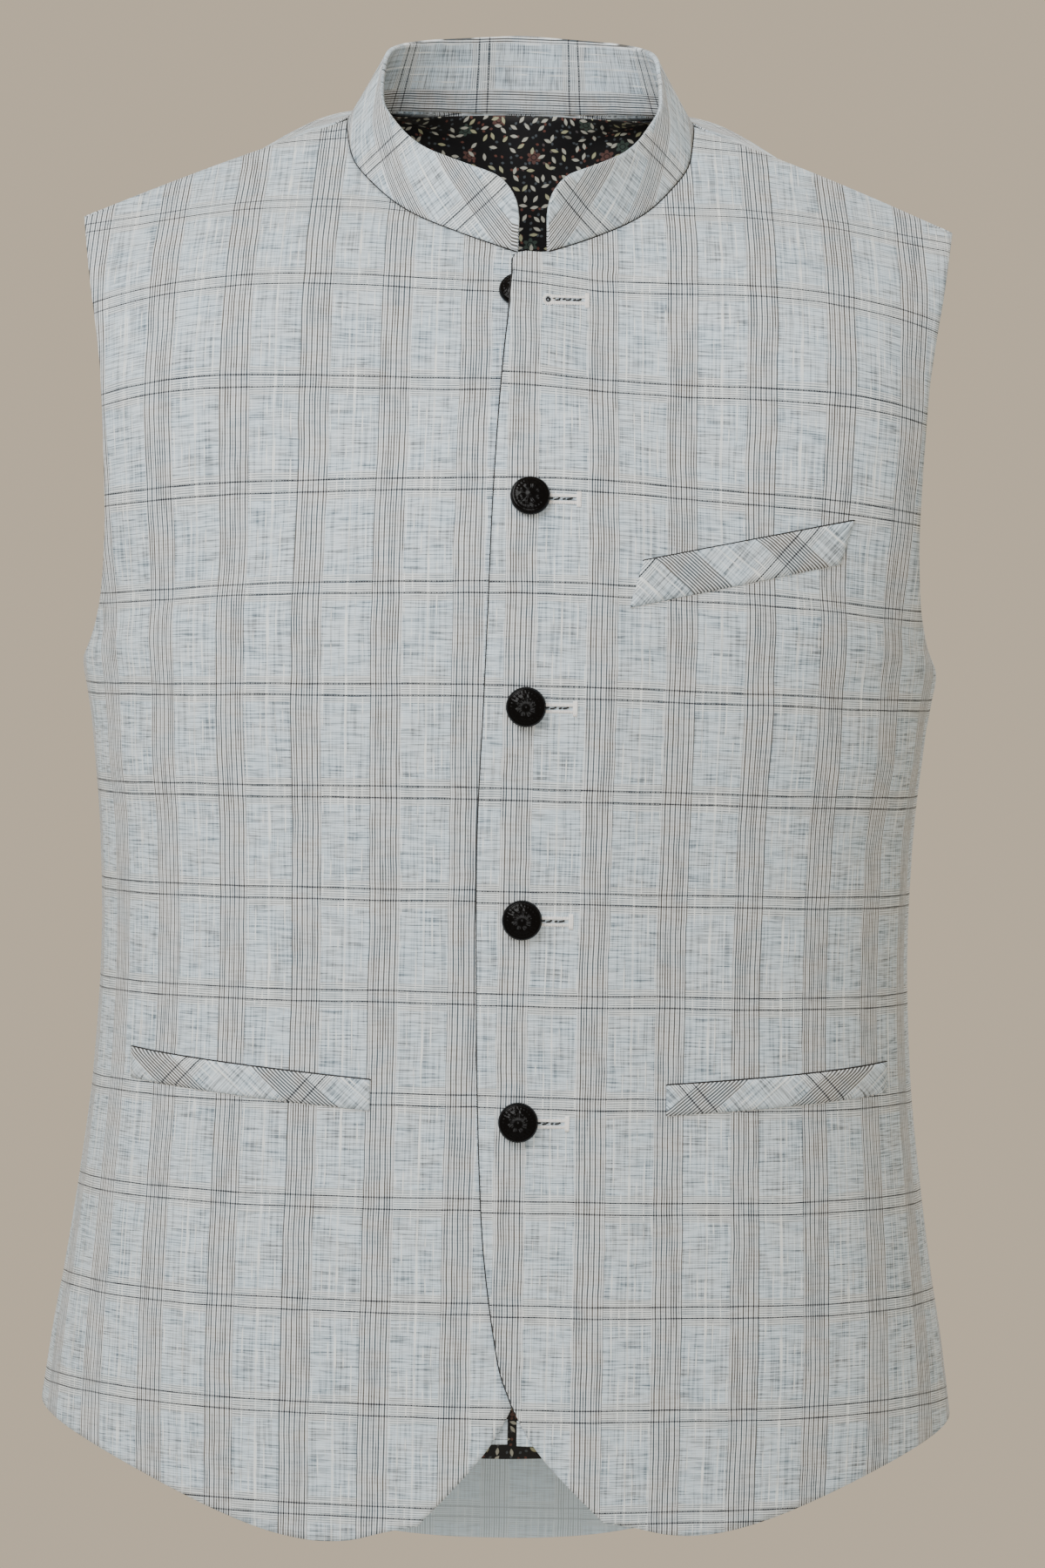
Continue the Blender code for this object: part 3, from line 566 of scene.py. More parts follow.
def flatten(grid, across_at, bends_over=False):
    """Lay a grid flat in metres: no length in it changes more than it must, and in the first
    column the points of the rows in across_at keep those distances across. It starts from the
    points' heights or, for a panel that bends over, from the lengths of its columns."""
    rows, columns = grid.shape[:2]
    held = len(across_at)
    start = np.concatenate([across_at, grid[held:, 0, 0] - grid[held - 1, 0, 0] + across_at[-1]])
    flat = np.zeros((rows, columns, 2))
    flat[:, 1:, 0] = np.cumsum(np.linalg.norm(np.diff(grid, axis=1), axis=2), axis=1)
    flat[:, :, 0] += start[:, None]
    step_up = np.linalg.norm(np.diff(grid[:, 0], axis=0), axis=1)
    rise = np.sqrt(np.maximum(step_up ** 2 - np.diff(start) ** 2, LEAST_RISE_SQUARED))
    flat[:, :, 1] = np.concatenate([[0.0], np.cumsum(rise)])[:, None] + grid[0, 0, 2]
    middle = rows // 3
    anchor = flat[middle, 0, 1]
    level = grid[:, :, 2] - grid[:, :1, 2]
    if bends_over:
        climb = np.cumsum(np.linalg.norm(np.diff(grid, axis=0, prepend=grid[:1]), axis=2), axis=0)
        flat[:, :, 1] = anchor + climb - climb[middle] + level[middle]
    else:
        flat[:, :, 1] += level * LEVEL_SHARE
    springs = []
    for down, across in ((0, 1), (1, 0), (1, 1), (1, -1)):
        here = (slice(0, rows - down), slice(max(0, -across), columns - max(0, across)))
        there = (slice(down, rows), slice(max(0, across), columns + min(0, across)))
        springs.append((here, there, np.linalg.norm(grid[there] - grid[here], axis=2)))
    for _ in range(FLATTEN_ROUNDS):
        move = np.zeros_like(flat)
        count = np.zeros((rows, columns, 1))
        for here, there, rest in springs:
            between = flat[there] - flat[here]
            length = np.linalg.norm(between, axis=2)
            push = between * ((length - rest) / length / 2)[:, :, None]
            move[here] += push
            move[there] -= push
            count[here] += 1
            count[there] += 1
        flat += move / count * FLATTEN_STEP
        flat[:held, 0, 0] = across_at
        flat[:, :, 1] += anchor - flat[middle, 0, 1]
    return flat


def border_of(rows, columns):
    ring = [column for column in range(columns)]
    ring += [row * columns + columns - 1 for row in range(1, rows)]
    ring += [(rows - 1) * columns + column for column in range(columns - 2, -1, -1)]
    ring += [row * columns for row in range(rows - 2, 0, -1)]
    return ring


def add_mesh(name, points, faces, laid, finish):
    """An object of these points and faces; laid is each face corner's place on the flat cloth."""
    mesh = bpy.data.meshes.new(name)
    mesh.from_pydata([tuple(point) for point in points], [], faces)
    if laid is not None:
        layer = mesh.uv_layers.new(name="UVMap")
        layer.data.foreach_set("uv", laid.astype(np.float32).ravel())
    mesh.shade_smooth()
    mesh.materials.append(finish)
    made = bpy.data.objects.new(name, mesh)
    bpy.context.scene.collection.objects.link(made)
    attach(made, "root")
    return made


def add_shell(name, outer, inner, flat, finish, flat_inside=None):
    """A closed thin shell of cloth between two like grids, its edges rolled over."""
    rows, columns = outer.shape[:2]
    count = rows * columns
    ring = border_of(rows, columns)
    outer_flat, inner_flat = outer.reshape(-1, 3), inner.reshape(-1, 3)
    edge = outer_flat[ring]
    away = edge - outer[1:-1, 1:-1].reshape(-1, 3)[nearest_inside(rows, columns, ring)]
    away /= np.linalg.norm(away, axis=1)[:, None]
    middle = (edge + inner_flat[ring]) / 2 + away * ROLL
    points = np.concatenate([outer_flat, inner_flat, middle])
    laid = flat.reshape(-1, 2)
    laid_inside = laid if flat_inside is None else flat_inside.reshape(-1, 2)
    laid = np.concatenate([laid, laid_inside])
    faces, rim_faces, rim_corners = [], [], []
    for row in range(rows - 1):
        for column in range(columns - 1):
            low = row * columns + column
            quad = (low, low + 1, low + columns + 1, low + columns)
            faces.append(quad)
            faces.append(tuple(count + corner for corner in reversed(quad)))
    for place, here in enumerate(ring):
        after = (place + 1) % len(ring)
        rim, rim_after = 2 * count + place, 2 * count + after
        rim_faces.append((here, rim, rim_after, ring[after]))
        rim_faces.append((rim, count + here, count + ring[after], rim_after))
        # The rim takes the inside's chart all the way across.
        inside, inside_after = count + here, count + ring[after]
        rim_corners += [(inside, inside, inside_after, inside_after)] * 2
    corners = np.array(faces + rim_corners).ravel()
    return add_mesh(name, points, faces + rim_faces, laid[corners], finish)


def nearest_inside(rows, columns, ring):
    """For each point of the border, the inner point beside it, counted on the inner grid."""
    row = np.clip(np.array(ring) // columns - 1, 0, rows - 3)
    column = np.clip(np.array(ring) % columns - 1, 0, columns - 3)
    return row * (columns - 2) + column


def declare_sheet(flat):
    """Sum twice the signed area of a shell's flat form, cell by cell; the sum is not used."""
    corners = [flat[:-1, :-1], flat[:-1, 1:], flat[1:, 1:], flat[1:, :-1]]
    twice = 0.0
    for here, after in zip(corners, corners[1:] + corners[:1]):
        twice = twice + here[:, :, 0] * after[:, :, 1] - after[:, :, 0] * here[:, :, 1]


# Where streaks begin in the noise, and how softly.
STREAK_LIMIT = 0.45
STREAK_SOFTNESS = 0.16
# How often the threads change in a millimetre, across and along: slubs, shading, uneven
# warp and the breaks in pale lines.
STREAKS = ((0.08, 1.15), (0.04, 0.75), (0.90, 0.025), (0.20, 0.060))


class Recipe:
    """A material's nodes, built one value at a time."""

    def __init__(self, name, roughness, sheen=0.0, specular=0.25):
        self.material = bpy.data.materials.new(name)
        self.material.use_nodes = True
        self.tree = self.material.node_tree
        self.shader = self.tree.nodes["Principled BSDF"]
        self.shader.inputs["Roughness"].default_value = roughness
        self.shader.inputs["Sheen Weight"].default_value = sheen
        self.shader.inputs["Specular IOR Level"].default_value = specular

    def put(self, node, socket, value):
        if isinstance(value, bpy.types.NodeSocket):
            self.tree.links.new(value, node.inputs[socket])
        else:
            node.inputs[socket].default_value = value

    def math(self, operation, first, second=0.0, third=0.0):
        node = self.tree.nodes.new("ShaderNodeMath")
        node.operation = operation
        for socket, value in enumerate((first, second, third)):
            self.put(node, socket, value)
        return node.outputs[0]

    def times(self, first, second):
        return self.math("MULTIPLY", first, second)

    def line(self, value, slope, start):
        return self.math("MULTIPLY_ADD", value, slope, start)

    def less(self, first, second):
        return self.math("SUBTRACT", first, second)

    def size_of(self, value):
        return self.math("ABSOLUTE", value)

    def below(self, value, limit, soft):
        """One where the value is under the limit, fading to nothing over soft."""
        node = self.tree.nodes.new("ShaderNodeMapRange")
        node.interpolation_type = "SMOOTHSTEP"
        self.put(node, 0, value)
        for socket, number in enumerate((limit - soft / 2, limit + soft / 2, 1.0, 0.0), start=1):
            self.put(node, socket, number)
        return node.outputs[0]

    def mix(self, share, first, second):
        node = self.tree.nodes.new("ShaderNodeMix")
        node.data_type = "RGBA"
        self.put(node, 0, share)
        for socket, colour in ((6, first), (7, second)):
            self.put(node, socket, colour if isinstance(colour, bpy.types.NodeSocket)
                     else (*colour, 1.0))
        return node.outputs[2]

    def flat_place(self):
        """The place on the flat cloth in millimetres, across and along."""
        node = self.tree.nodes.new("ShaderNodeUVMap")
        node.uv_map = "UVMap"
        parts = self.tree.nodes.new("ShaderNodeSeparateXYZ")
        self.tree.links.new(node.outputs[0], parts.inputs[0])
        return (self.math("MULTIPLY", parts.outputs[0], 1000.0),
                self.math("MULTIPLY", parts.outputs[1], 1000.0))

    def joined(self, across, along, third=0.0):
        node = self.tree.nodes.new("ShaderNodeCombineXYZ")
        for socket, value in enumerate((across, along, third)):
            self.put(node, socket, value)
        return node.outputs[0]

    def noise(self, across, along, detail=2.0):
        node = self.tree.nodes.new("ShaderNodeTexNoise")
        self.tree.links.new(self.joined(across, along), node.inputs["Vector"])
        node.inputs["Scale"].default_value = 1.0
        node.inputs["Detail"].default_value = detail
        return node.outputs[0]

    def streaks(self, across, along, often_across, often_along):
        """Soft uneven streaks from 0 to 1, so many to a millimetre across and along."""
        noise = self.noise(self.times(across, often_across), self.times(along, often_along))
        return self.below(noise, STREAK_LIMIT, STREAK_SOFTNESS)

    def from_nearest(self, value, phase, pitch):
        """How far the value is from the nearest place that repeats at pitch from phase."""
        around = self.math("FLOORED_MODULO", self.less(value, phase - pitch / 2), pitch)
        return self.size_of(self.less(around, pitch / 2))

    def scattered(self, across, along, pitch, randomness):
        """A random grid's cell: its three chances, and how far a place is from its middle."""
        cells = self.tree.nodes.new("ShaderNodeTexVoronoi")
        cells.voronoi_dimensions = "2D"
        cells.inputs["Scale"].default_value = 1.0 / pitch
        cells.inputs["Randomness"].default_value = randomness
        self.tree.links.new(self.joined(across, along), cells.inputs["Vector"])
        chance = self.tree.nodes.new("ShaderNodeSeparateColor")
        self.tree.links.new(cells.outputs["Color"], chance.inputs[0])
        middle = self.tree.nodes.new("ShaderNodeSeparateXYZ")
        self.tree.links.new(cells.outputs["Position"], middle.inputs[0])
        return (chance.outputs, self.less(across, middle.outputs[0]),
                self.less(along, middle.outputs[1]))

    def finish(self, colour, height=None, depth=0.1 * MM):
        self.put(self.shader, "Base Color", colour)
        if height is not None:
            bump = self.tree.nodes.new("ShaderNodeBump")
            bump.inputs["Distance"].default_value = depth
            bump.inputs["Strength"].default_value = 0.6
            self.put(bump, "Height", height)
            self.tree.links.new(bump.outputs[0], self.shader.inputs["Normal"])
        return self.material


# The cloth's colours, as linear red, green and blue.
WARP_DARK = (0.010, 0.013, 0.020)
WARP_LIGHT = (0.84, 0.92, 1.00)
GAP_DARK = (0.070, 0.100, 0.135)
GAP_LIGHT = (0.71, 0.86, 1.00)
GAP_WHITE = (0.84, 0.93, 1.00)
PALE_LINE = (0.90, 0.97, 1.00)
PAIR_DARK = (0.020, 0.024, 0.033)
PATCH_WARM = (0.64, 0.62, 0.57)
PATCH_COOL = (0.46, 0.60, 0.70)
# The wrong side's paler check, also lightened to paint in light that doesn't reach the inside of the
# back's hem.
WRONG_SIDE_PAINTED_LIGHT = (0.69, 0.87, 1.00)


def check_cloth(name, band, pair, contrast=1.0, bold=0.0):
    """The checked suiting: bands of dark and white lines, fine lines across between them, and
    pairs of dark lines across all of it."""
    recipe = Recipe(name, roughness=0.88, sheen=0.08, specular=0.15)
    times, line, below = recipe.times, recipe.line, recipe.below
    nearest, mix = recipe.from_nearest, recipe.mix
    across, along = recipe.flat_place()
    sway = line(recipe.noise(times(across, 0.02), times(along, 0.03)), 1.6, -0.8)
    across, along = recipe.math("ADD", across, sway), recipe.math("ADD", along, sway)
    slub, shade, warp_slub, broken = (recipe.streaks(across, along, *often) for often in STREAKS)

    from_band = nearest(across, band, BAND_PITCH)
    in_band = below(from_band, BAND_HALF, 0.25)
    from_pair = nearest(along, pair, PAIR_PITCH)
    in_zone = below(from_pair, PAIR_ZONE, 0.6)
    on_pair = below(recipe.size_of(recipe.less(from_pair, PAIR_OFFSET)), PAIR_LINE_HALF, 0.25)

    # The bands: dark lines of uneven strength, every other one bolder.
    strong = below(nearest(across, band, 2 * BAND_LINE), BAND_LINE / 2, 0.1)
    strength = line(strong, 0.46, line(warp_slub, 0.44, 0.52 + bold))
    warp_lines = below(nearest(across, band, BAND_LINE), WARP_LINE_HALF, 0.34)
    warp_lines = times(warp_lines, strength)
    band_colour = mix(line(slub, 0.16, warp_lines), WARP_LIGHT, WARP_DARK)

    # The ground between them, whiter round the pairs, with its own pale lines.
    gap_lines = below(nearest(along, pair, GAP_LINE), GAP_LINE_HALF, 0.42)
    uneven = line(warp_slub, 0.32, line(shade, 0.28, times(slub, 0.42)))
    open_colour = mix(line(gap_lines, 0.24, uneven), GAP_LIGHT, GAP_DARK)
    zone_colour = mix(line(gap_lines, 0.70, times(uneven, 0.4)), GAP_WHITE, GAP_DARK)
    gap_colour = mix(in_zone, open_colour, zone_colour)
    on_pale = below(recipe.less(BAND_PITCH / 2, from_band), PALE_LINE_HALF, 0.2)
    on_pale = times(on_pale, line(broken, 0.4, 0.4))
    side_pale = times(below(nearest(across, band, 3 * BAND_LINE), 0.3, 0.3), times(broken, 0.8))
    gap_colour = mix(recipe.math("MAXIMUM", on_pale, side_pale), gap_colour, PALE_LINE)

    colour = mix(in_band, gap_colour, band_colour)
    patch = recipe.noise(times(across, 0.05), times(along, 0.09), 3.0)
    colour = mix(0.16, colour, mix(below(patch, 0.5, 0.3), PATCH_COOL, PATCH_WARM))
    crossing = times(on_pair, line(warp_lines, 0.30, line(slub, 0.2, 0.62)))
    colour = mix(crossing, colour, PAIR_DARK)
    # Fading towards the wrong side's colour, which is partly painted light for the facing inside the
    # hem.
    if contrast < 1.0:
        colour = mix(1.0 - contrast, colour, WRONG_SIDE_PAINTED_LIGHT)
    return recipe.finish(colour, warp_lines, 0.04 * MM)


def leaf_layer(recipe, colour, across, along, pitch, length, width, tones, share):
    """Scatter leaves over a colour: one in a cell of a random grid, each turned its own way."""
    times = recipe.times
    chance, off_across, off_along = recipe.scattered(across, along, pitch, 0.75)
    turn = times(chance[0], 2 * math.pi)
    cosine, sine = recipe.math("COSINE", turn), recipe.math("SINE", turn)
    on_axis = recipe.math("ADD", times(off_across, cosine), times(off_along, sine))
    off_axis = recipe.less(times(off_along, cosine), times(off_across, sine))
    down = recipe.size_of(recipe.math("DIVIDE", on_axis, length / 2))
    edge = times(recipe.less(1.0, recipe.math("POWER", down, 1.8)), width / 2)
    inside = recipe.below(recipe.less(recipe.size_of(off_axis), edge), 0.0, 0.35)
    tone = tones[0]
    for place, other in enumerate(tones[1:], start=1):
        pick = recipe.below(chance[2], 1.0 - place / len(tones), 0.05)
        tone = recipe.mix(pick, other, tone)
    return recipe.mix(times(inside, recipe.below(chance[1], share, 0.02)), colour, tone)


def flower_layer(recipe, colour, across, along, pitch, radius, tones, share):
    """Scatter six-petalled flowers over a colour."""
    times = recipe.times
    chance, off_across, off_along = recipe.scattered(across, along, pitch, 0.7)
    squares = recipe.math("ADD", times(off_across, off_across), times(off_along, off_along))
    out = recipe.math("SQRT", squares)
    angle = recipe.math("ARCTAN2", off_along, off_across)
    petals = recipe.size_of(recipe.math("SINE", times(angle, 3.0)))
    edge = recipe.line(petals, radius * 0.5, radius * 0.5)
    inside = recipe.below(recipe.less(out, edge), 0.0, 0.4)
    ringed = recipe.below(recipe.size_of(recipe.less(out, radius * 0.38)), 0.22, 0.3)
    tone = recipe.mix(recipe.below(chance[2], 0.55, 0.02), tones[1], tones[0])
    tone = recipe.mix(ringed, tone, LINING_GROUND)
    return recipe.mix(times(inside, recipe.below(chance[1], share, 0.02)), colour, tone)


LINING_GROUND = (0.0068, 0.0070, 0.0088)
LEAF_TONES = ((0.40, 0.41, 0.27), (0.22, 0.27, 0.13), (0.13, 0.18, 0.20), (0.46, 0.47, 0.42))
DOT_TONES = ((0.13, 0.055, 0.045), (0.045, 0.09, 0.05), (0.07, 0.085, 0.10))
FLOWER_TONES = ((0.115, 0.060, 0.054), (0.050, 0.075, 0.066))


def printed_lining():
    """Near-black satin with a scatter of small leaves, dots and flowers."""
    recipe = Recipe("lining_print", roughness=0.5, sheen=0.05, specular=0.3)
    across, along = recipe.flat_place()
    aside = recipe.math("ADD", across, 3.0)
    colour = leaf_layer(recipe, LINING_GROUND, aside, along, 3.6, 1.9, 1.4, DOT_TONES, 0.55)
    colour = flower_layer(recipe, colour, across, along, 17.0, 3.8, FLOWER_TONES, 0.62)
    colour = leaf_layer(recipe, colour, across, along, 5.4, 4.3, 1.8, LEAF_TONES, 0.74)
    return recipe.finish(colour)


def plain(name, colour, roughness, specular=0.3):
    recipe = Recipe(name, roughness=roughness, specular=specular)
    grain = recipe.noise(0.0, 0.0)
    coordinates = recipe.tree.nodes.new("ShaderNodeTexCoord")
    noise = grain.node
    recipe.tree.links.new(coordinates.outputs["Object"], noise.inputs["Vector"])
    noise.inputs["Scale"].default_value = 900.0
    shade = recipe.mix(grain, tuple(0.8 * part for part in colour), colour)
    return recipe.finish(shade)


def front_shell(side, name, finish, lining):
    """One front's cloth and the lining inside it; returns the outer face and its normals."""
    coarse, rows = front_grid(side)
    held = int(np.sum(rows <= len(FRONT_EDGE) - 1))
    flat = flatten(coarse, coarse[:held, 0, 0] - side * CENTRE_FRONT)
    down = even_places(coarse, FRONT_SPACING)
    across = even_places(np.swapaxes(coarse, 0, 1), FRONT_SPACING)
    grid, flat = refine(coarse, down, across), refine(flat, down, across)
    charted = flat.copy()
    laid, woven = (np.array(column) * MM for column in zip(*FRONT_RUN))
    charted[:, :, 1] = np.interp(flat[:, :, 1], laid, woven)
    outward = normals(grid)
    grid = grid + outward * crease(grid, side)[:, :, None]
    outward = normals(grid)
    outer, inner = grid.copy(), grid - outward * SHELL
    outer[:, -1] -= outward[:, -1] * SEAM_SINK
    outer[-1, :-1] -= outward[-1, :-1] * SEAM_SINK
    if side == RIGHT:
        outer, inner = mirrored(outer), mirrored(inner)
    cloth = add_shell(name + "_cloth", outer, inner, charted, finish)
    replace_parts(cloth, name)
    declare_sheet(flat)
    add_front_lining(side, name, grid, outward, flat, lining)
    return grid, outward, flat


def add_front_lining(side, name, grid, outward, flat, lining):
    """The lining inside a front, from its facing to the side and up to the shoulder."""
    first_row = int(np.argmax(flat[:, 0, 1] - flat[0, 0, 1] > FACING_HEM))
    first_column = int(np.argmax(np.median(flat[:, :, 0] - flat[:, :1, 0], axis=0) > FACING_WIDTH))
    part = (slice(first_row, -1), slice(first_column, -1))
    face = grid[part] - outward[part] * LINING_DEPTH
    back = face - outward[part] * LINING_SHELL
    if side == RIGHT:
        face, back = mirrored(face), mirrored(back)
    made = add_shell(name + "_lining", face, back, flat[part], lining)
    declare_sheet(flat[part])


# The ends of the fronts' facings, which show beside the lining in the hem's gap.
FacingEnd = namedtuple("FacingEnd", "name front left right y low high")
FACING_ENDS = (
    FacingEnd("facing_end_left", "front_left", 1.10, 2.30, -23.09, -65.40, -64.20),
    FacingEnd("facing_end_right", "front_right", -0.60, 0.60, -22.68, -65.40, -64.20),
)


def facing_ends(finishes):
    for end, finish in zip(FACING_ENDS, finishes):
        across, up = np.meshgrid(np.linspace(end.left, end.right, 5) * CM,
                                 np.linspace(end.low, end.high, 5) * CM)
        face = np.stack([across, np.full(across.shape, end.y * CM), up], axis=2)
        laid = np.stack([across, up], axis=2)
        made = add_shell(end.name, face, face + (0.0, LINING_SHELL, 0.0), laid, finish)
        declare_sheet(laid)


Crease = namedtuple("Crease", "side x z to_x to_z width depth")
CREASES = (
    Crease(LEFT, 20.6, -27.5, 14.0, -30.5, 1.3, -1.2),
    Crease(LEFT, 20.8, -31.0, 15.5, -34.5, 1.4, 1.1),
    Crease(LEFT, 20.4, -36.0, 16.0, -38.0, 1.3, -1.0),
    Crease(RIGHT, 20.6, -28.0, 14.5, -31.5, 1.4, -1.1),
    Crease(RIGHT, 20.6, -32.5, 15.0, -35.0, 1.5, 1.0),
    Crease(BACK, -17.8, -27.5, -10.5, -31.5, 1.4, -1.2),
    Crease(BACK, 17.9, -28.5, 11.2, -33.0, 1.5, -1.1),
    Crease(BACK, -13.5, -37.0, -12.2, -58.0, 1.8, -1.2),
    Crease(BACK, 12.8, -35.5, 11.6, -55.0, 1.7, -1.1),
    Crease(BACK, -16.5, -61.0, -8.0, -65.5, 1.7, 0.9),
    Crease(BACK, -4.5, -12.0, 5.5, -13.4, 1.5, 0.8),
)


def crease(grid, side):
    """How far the creases move a front's or the back's points out, in metres."""
    moved = np.zeros(grid.shape[:2])
    for fold in CREASES:
        if fold.side != side:
            continue
        start = np.array([fold.x, fold.z]) * CM
        run = np.array([fold.to_x, fold.to_z]) * CM - start
        offset = grid[:, :, [0, 2]] - start
        share = np.clip((offset @ run) / (run @ run), 0.0, 1.0)
        away = np.linalg.norm(offset - share[:, :, None] * run, axis=2) / (fold.width * CM)
        moved += fold.depth * MM * np.exp(-away ** 2) * np.sin(math.pi * (0.12 + 0.88 * share)) ** 2
    return moved


def back_shells(cloth, facing, lining):
    """The back's cloth, the facing in its hem and the printed lining inside it."""
    half, rows = back_half()
    flat = flatten(half, np.zeros(len(half)), bends_over=True)
    whole, laid = both_halves(half), np.concatenate([flat[:, :0:-1] * (-1.0, 1.0), flat], axis=1)
    facing_row = int(np.argmax(rows >= FACING_ROW))
    down = even_places(whole, BACK_SPACING)
    down = np.unique(np.concatenate([down, [facing_row]]))
    across = even_places(np.swapaxes(whole, 0, 1), BACK_SPACING)
    grid, laid = refine(whole, down, across), refine(laid, down, across)
    grid = grid - normals(grid) * crease(grid, BACK)[:, :, None]
    outward = -normals(grid)
    outer = grid.copy()
    outer[:, 0] -= outward[:, 0] * SEAM_SINK
    outer[:, -1] -= outward[:, -1] * SEAM_SINK
    made = add_shell("back_cloth", outer, grid - outward * SHELL, laid, cloth)
    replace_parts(made, "back")
    declare_sheet(laid)
    cut = int(np.argmax(down >= facing_row))
    depth = WALL + LINING_GAP
    # The facing's cloth is lightened to paint in the light that doesn't reach inside the hem.
    pieces = (
        ("back_facing", slice(0, cut + 1), facing, 0.0),
        ("back_lining", slice(cut - 2, None), lining, 2 * LINING_SHELL),
    )
    inside = slice(1, -1)
    for name, part, finish, deeper in pieces:
        face = grid[part, inside] - outward[part, inside] * (depth + deeper)
        back = face - outward[part, inside] * LINING_SHELL
        shell = add_shell(name + "_cloth", face, back, laid[part, inside], finish)
        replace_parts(shell, name)
        declare_sheet(laid[part, inside])


def rise_at_foot(face):
    """Which way the collar stands up from its foot, along its length."""
    rise = face[1] - face[0]
    return rise / np.linalg.norm(rise, axis=1)[:, None]


def collar_shell(finish, shadow):
    """The band collar in its cloth, which turns across the grain towards the front."""
    halves = {side: collar_line(side) for side in (LEFT, RIGHT)}
    joined = []
    for part in range(3):
        left, right = halves[LEFT][part], halves[RIGHT][part]
        turned = mirrored(right) if part == 0 else right
        joined.append(np.concatenate([turned[:0:-1], left]))
    foot, lean, height = joined
    up = np.array([0.0, 0.0, 1.0])
    along = np.gradient(foot, axis=0)
    inward = np.cross(along * np.array([1.0, 1.0, 0.0]), up)
    inward /= np.linalg.norm(inward, axis=1)[:, None]
    rise = inward * np.sin(lean)[:, None] + up * np.cos(lean)[:, None]
    through = np.cross(along, rise)
    through /= np.linalg.norm(through, axis=1)[:, None]
    shares = np.linspace(0.0, 1.0, COLLAR_ROWS + 1)
    face = np.array([foot + rise * (COLLAR_GAP + height * share)[:, None] for share in shares])
    length = np.concatenate([[0.0], np.cumsum(np.linalg.norm(np.diff(foot, axis=0), axis=1))])
    middle = len(halves[RIGHT][0]) - 1
    length -= length[middle]
    run = np.linspace(0.0, length[-1], COLLAR_SAMPLES)
    turned = math.radians(COLLAR_TURN) * smoothstep(*COLLAR_TURN_SPAN, run / run[-1])
    far = np.abs(length)
    warp = np.interp(far, run, np.cumsum(np.cos(turned)) * run[1]) * np.sign(length)
    weft = np.interp(far, run, np.cumsum(np.sin(turned)) * run[1])
    turn = np.interp(far, run, turned)
    tall = np.array([height * share for share in shares])
    warp_up = warp - np.sign(length) * tall * np.sin(turn)
    laid = np.stack([weft + tall * np.cos(turn), warp_up], axis=2)
    down = np.linspace(0, COLLAR_ROWS, COLLAR_POINTS_UP)
    across = even_places(np.swapaxes(face, 0, 1), COLLAR_SPACING)
    face, laid = refine(face, down, across), refine(laid, down, across)
    thickness = refine(np.repeat(through[None], COLLAR_ROWS + 1, axis=0), down, across)
    outside = laid * (1.0, COLLAR_OUTSIDE_EASE)
    inside = refine(np.stack([tall, np.broadcast_to(length, tall.shape)], axis=2), down, across)
    inside = inside + (0.0, COLLAR_INSIDE_SHIFT)
    made = add_shell("collar_cloth", face, face + thickness * COLLAR_WALL, outside, finish,
                     inside)
    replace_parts(made, "collar")
    declare_sheet(laid)
    # A painted shadow: a dark line along the collar's foot, where shade falls between the collar and
    # the body.
    under = face[0] - rise_at_foot(face) * 0.3 * MM
    painted_shade_line("collar_foot_shadow", under, -thickness[0], COLLAR_SHADOW_RADIUS, shadow)


# A welt's points, how far its edges sink and how much longer and wider it lies when flat.
WELT_POINTS_UP = 9
WELT_POINTS_ALONG = 49
WELT_EDGE_SINK = 0.45
WELT_EASE = 1.04


def welt_place(welt, run, up):
    """Where so far along and up a welt is in the front view, and its height, in centimetres."""
    height = welt.height_inner + (welt.height_outer - welt.height_inner) * run
    x = welt.inner_x + (welt.outer_x - welt.inner_x) * run + welt.slant * up
    z = welt.inner_z + (welt.outer_z - welt.inner_z) * run + height * up
    return x, z, height


def welt_shell(welt, front, finish):
    """A welt in its bias-cut cloth, on its front's own points."""
    grid, outward, _ = front
    turn = math.radians(WELT_TURN) * (1 if welt.name == "breast_welt" else -1)
    cosine, sine = math.cos(turn), math.sin(turn)
    rows = ([], [], [], [])
    for up in np.linspace(0.0, 1.0, WELT_POINTS_UP):
        lines = ([], [], [], [])
        for run in np.linspace(0.0, 1.0, WELT_POINTS_ALONG):
            x, z, height = welt_place(welt, run, up)
            x, z = x * CM, z * CM
            point, normal = place_on(grid, outward, x, z)
            on_edge = max(abs(2 * up - 1), abs(2 * run - 1)) > 0.999
            thick = (WELT_GAP + WELT_WALL) * (1.0 - WELT_EDGE_SINK * on_edge)
            lines[0].append(point + normal * 0.1 * MM)
            lines[1].append(point + normal * thick)
            lines[2].append((x * sine + z * cosine, x * cosine - z * sine))
            lines[3].append((run * (welt.outer_x - welt.inner_x) * CM, up * height * CM))
        for row, line in zip(rows, lines):
            row.append(line)
    seat, face, laid, strip = (np.array(row) for row in rows)
    if welt.side == RIGHT:
        seat, face = mirrored(seat), mirrored(face)
    made = add_shell(welt.name + "_cloth", face, seat, laid, finish)
    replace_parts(made, welt.name)
    declare_sheet(strip * WELT_EASE)


# A button's points, and the heights of its rim, dome and ornament.
BUTTON_TURNS = 112
BUTTON_RINGS = 26
RIM_HEIGHT = 1.3 * MM
DOME_SINK = 0.45 * MM
RELIEF_HEIGHT = 0.42 * MM
RELIEF_INSET = 0.25 * MM
HEART_HEIGHT = 0.35 * MM


def ridge(radius, middle, width):
    return math.exp(-((radius - middle) / width) ** 2)


def relief(radius, angle):
    """The button's raised ornament: how high it stands at a radius from 0 to 1 and an angle."""
    beads = ridge(radius, 0.76, 0.05) * (0.5 + 0.5 * math.cos(28 * angle))
    petals = abs(math.sin(4 * angle)) * ridge(radius, 0.50, 0.13)
    veins = 0.4 * abs(math.sin(12 * angle + 9 * radius)) * ridge(radius, 0.5, 0.2)
    return 0.9 * ridge(radius, 0.90, 0.045) + beads + petals + veins + 0.9 * ridge(radius, 0.0, 0.13)


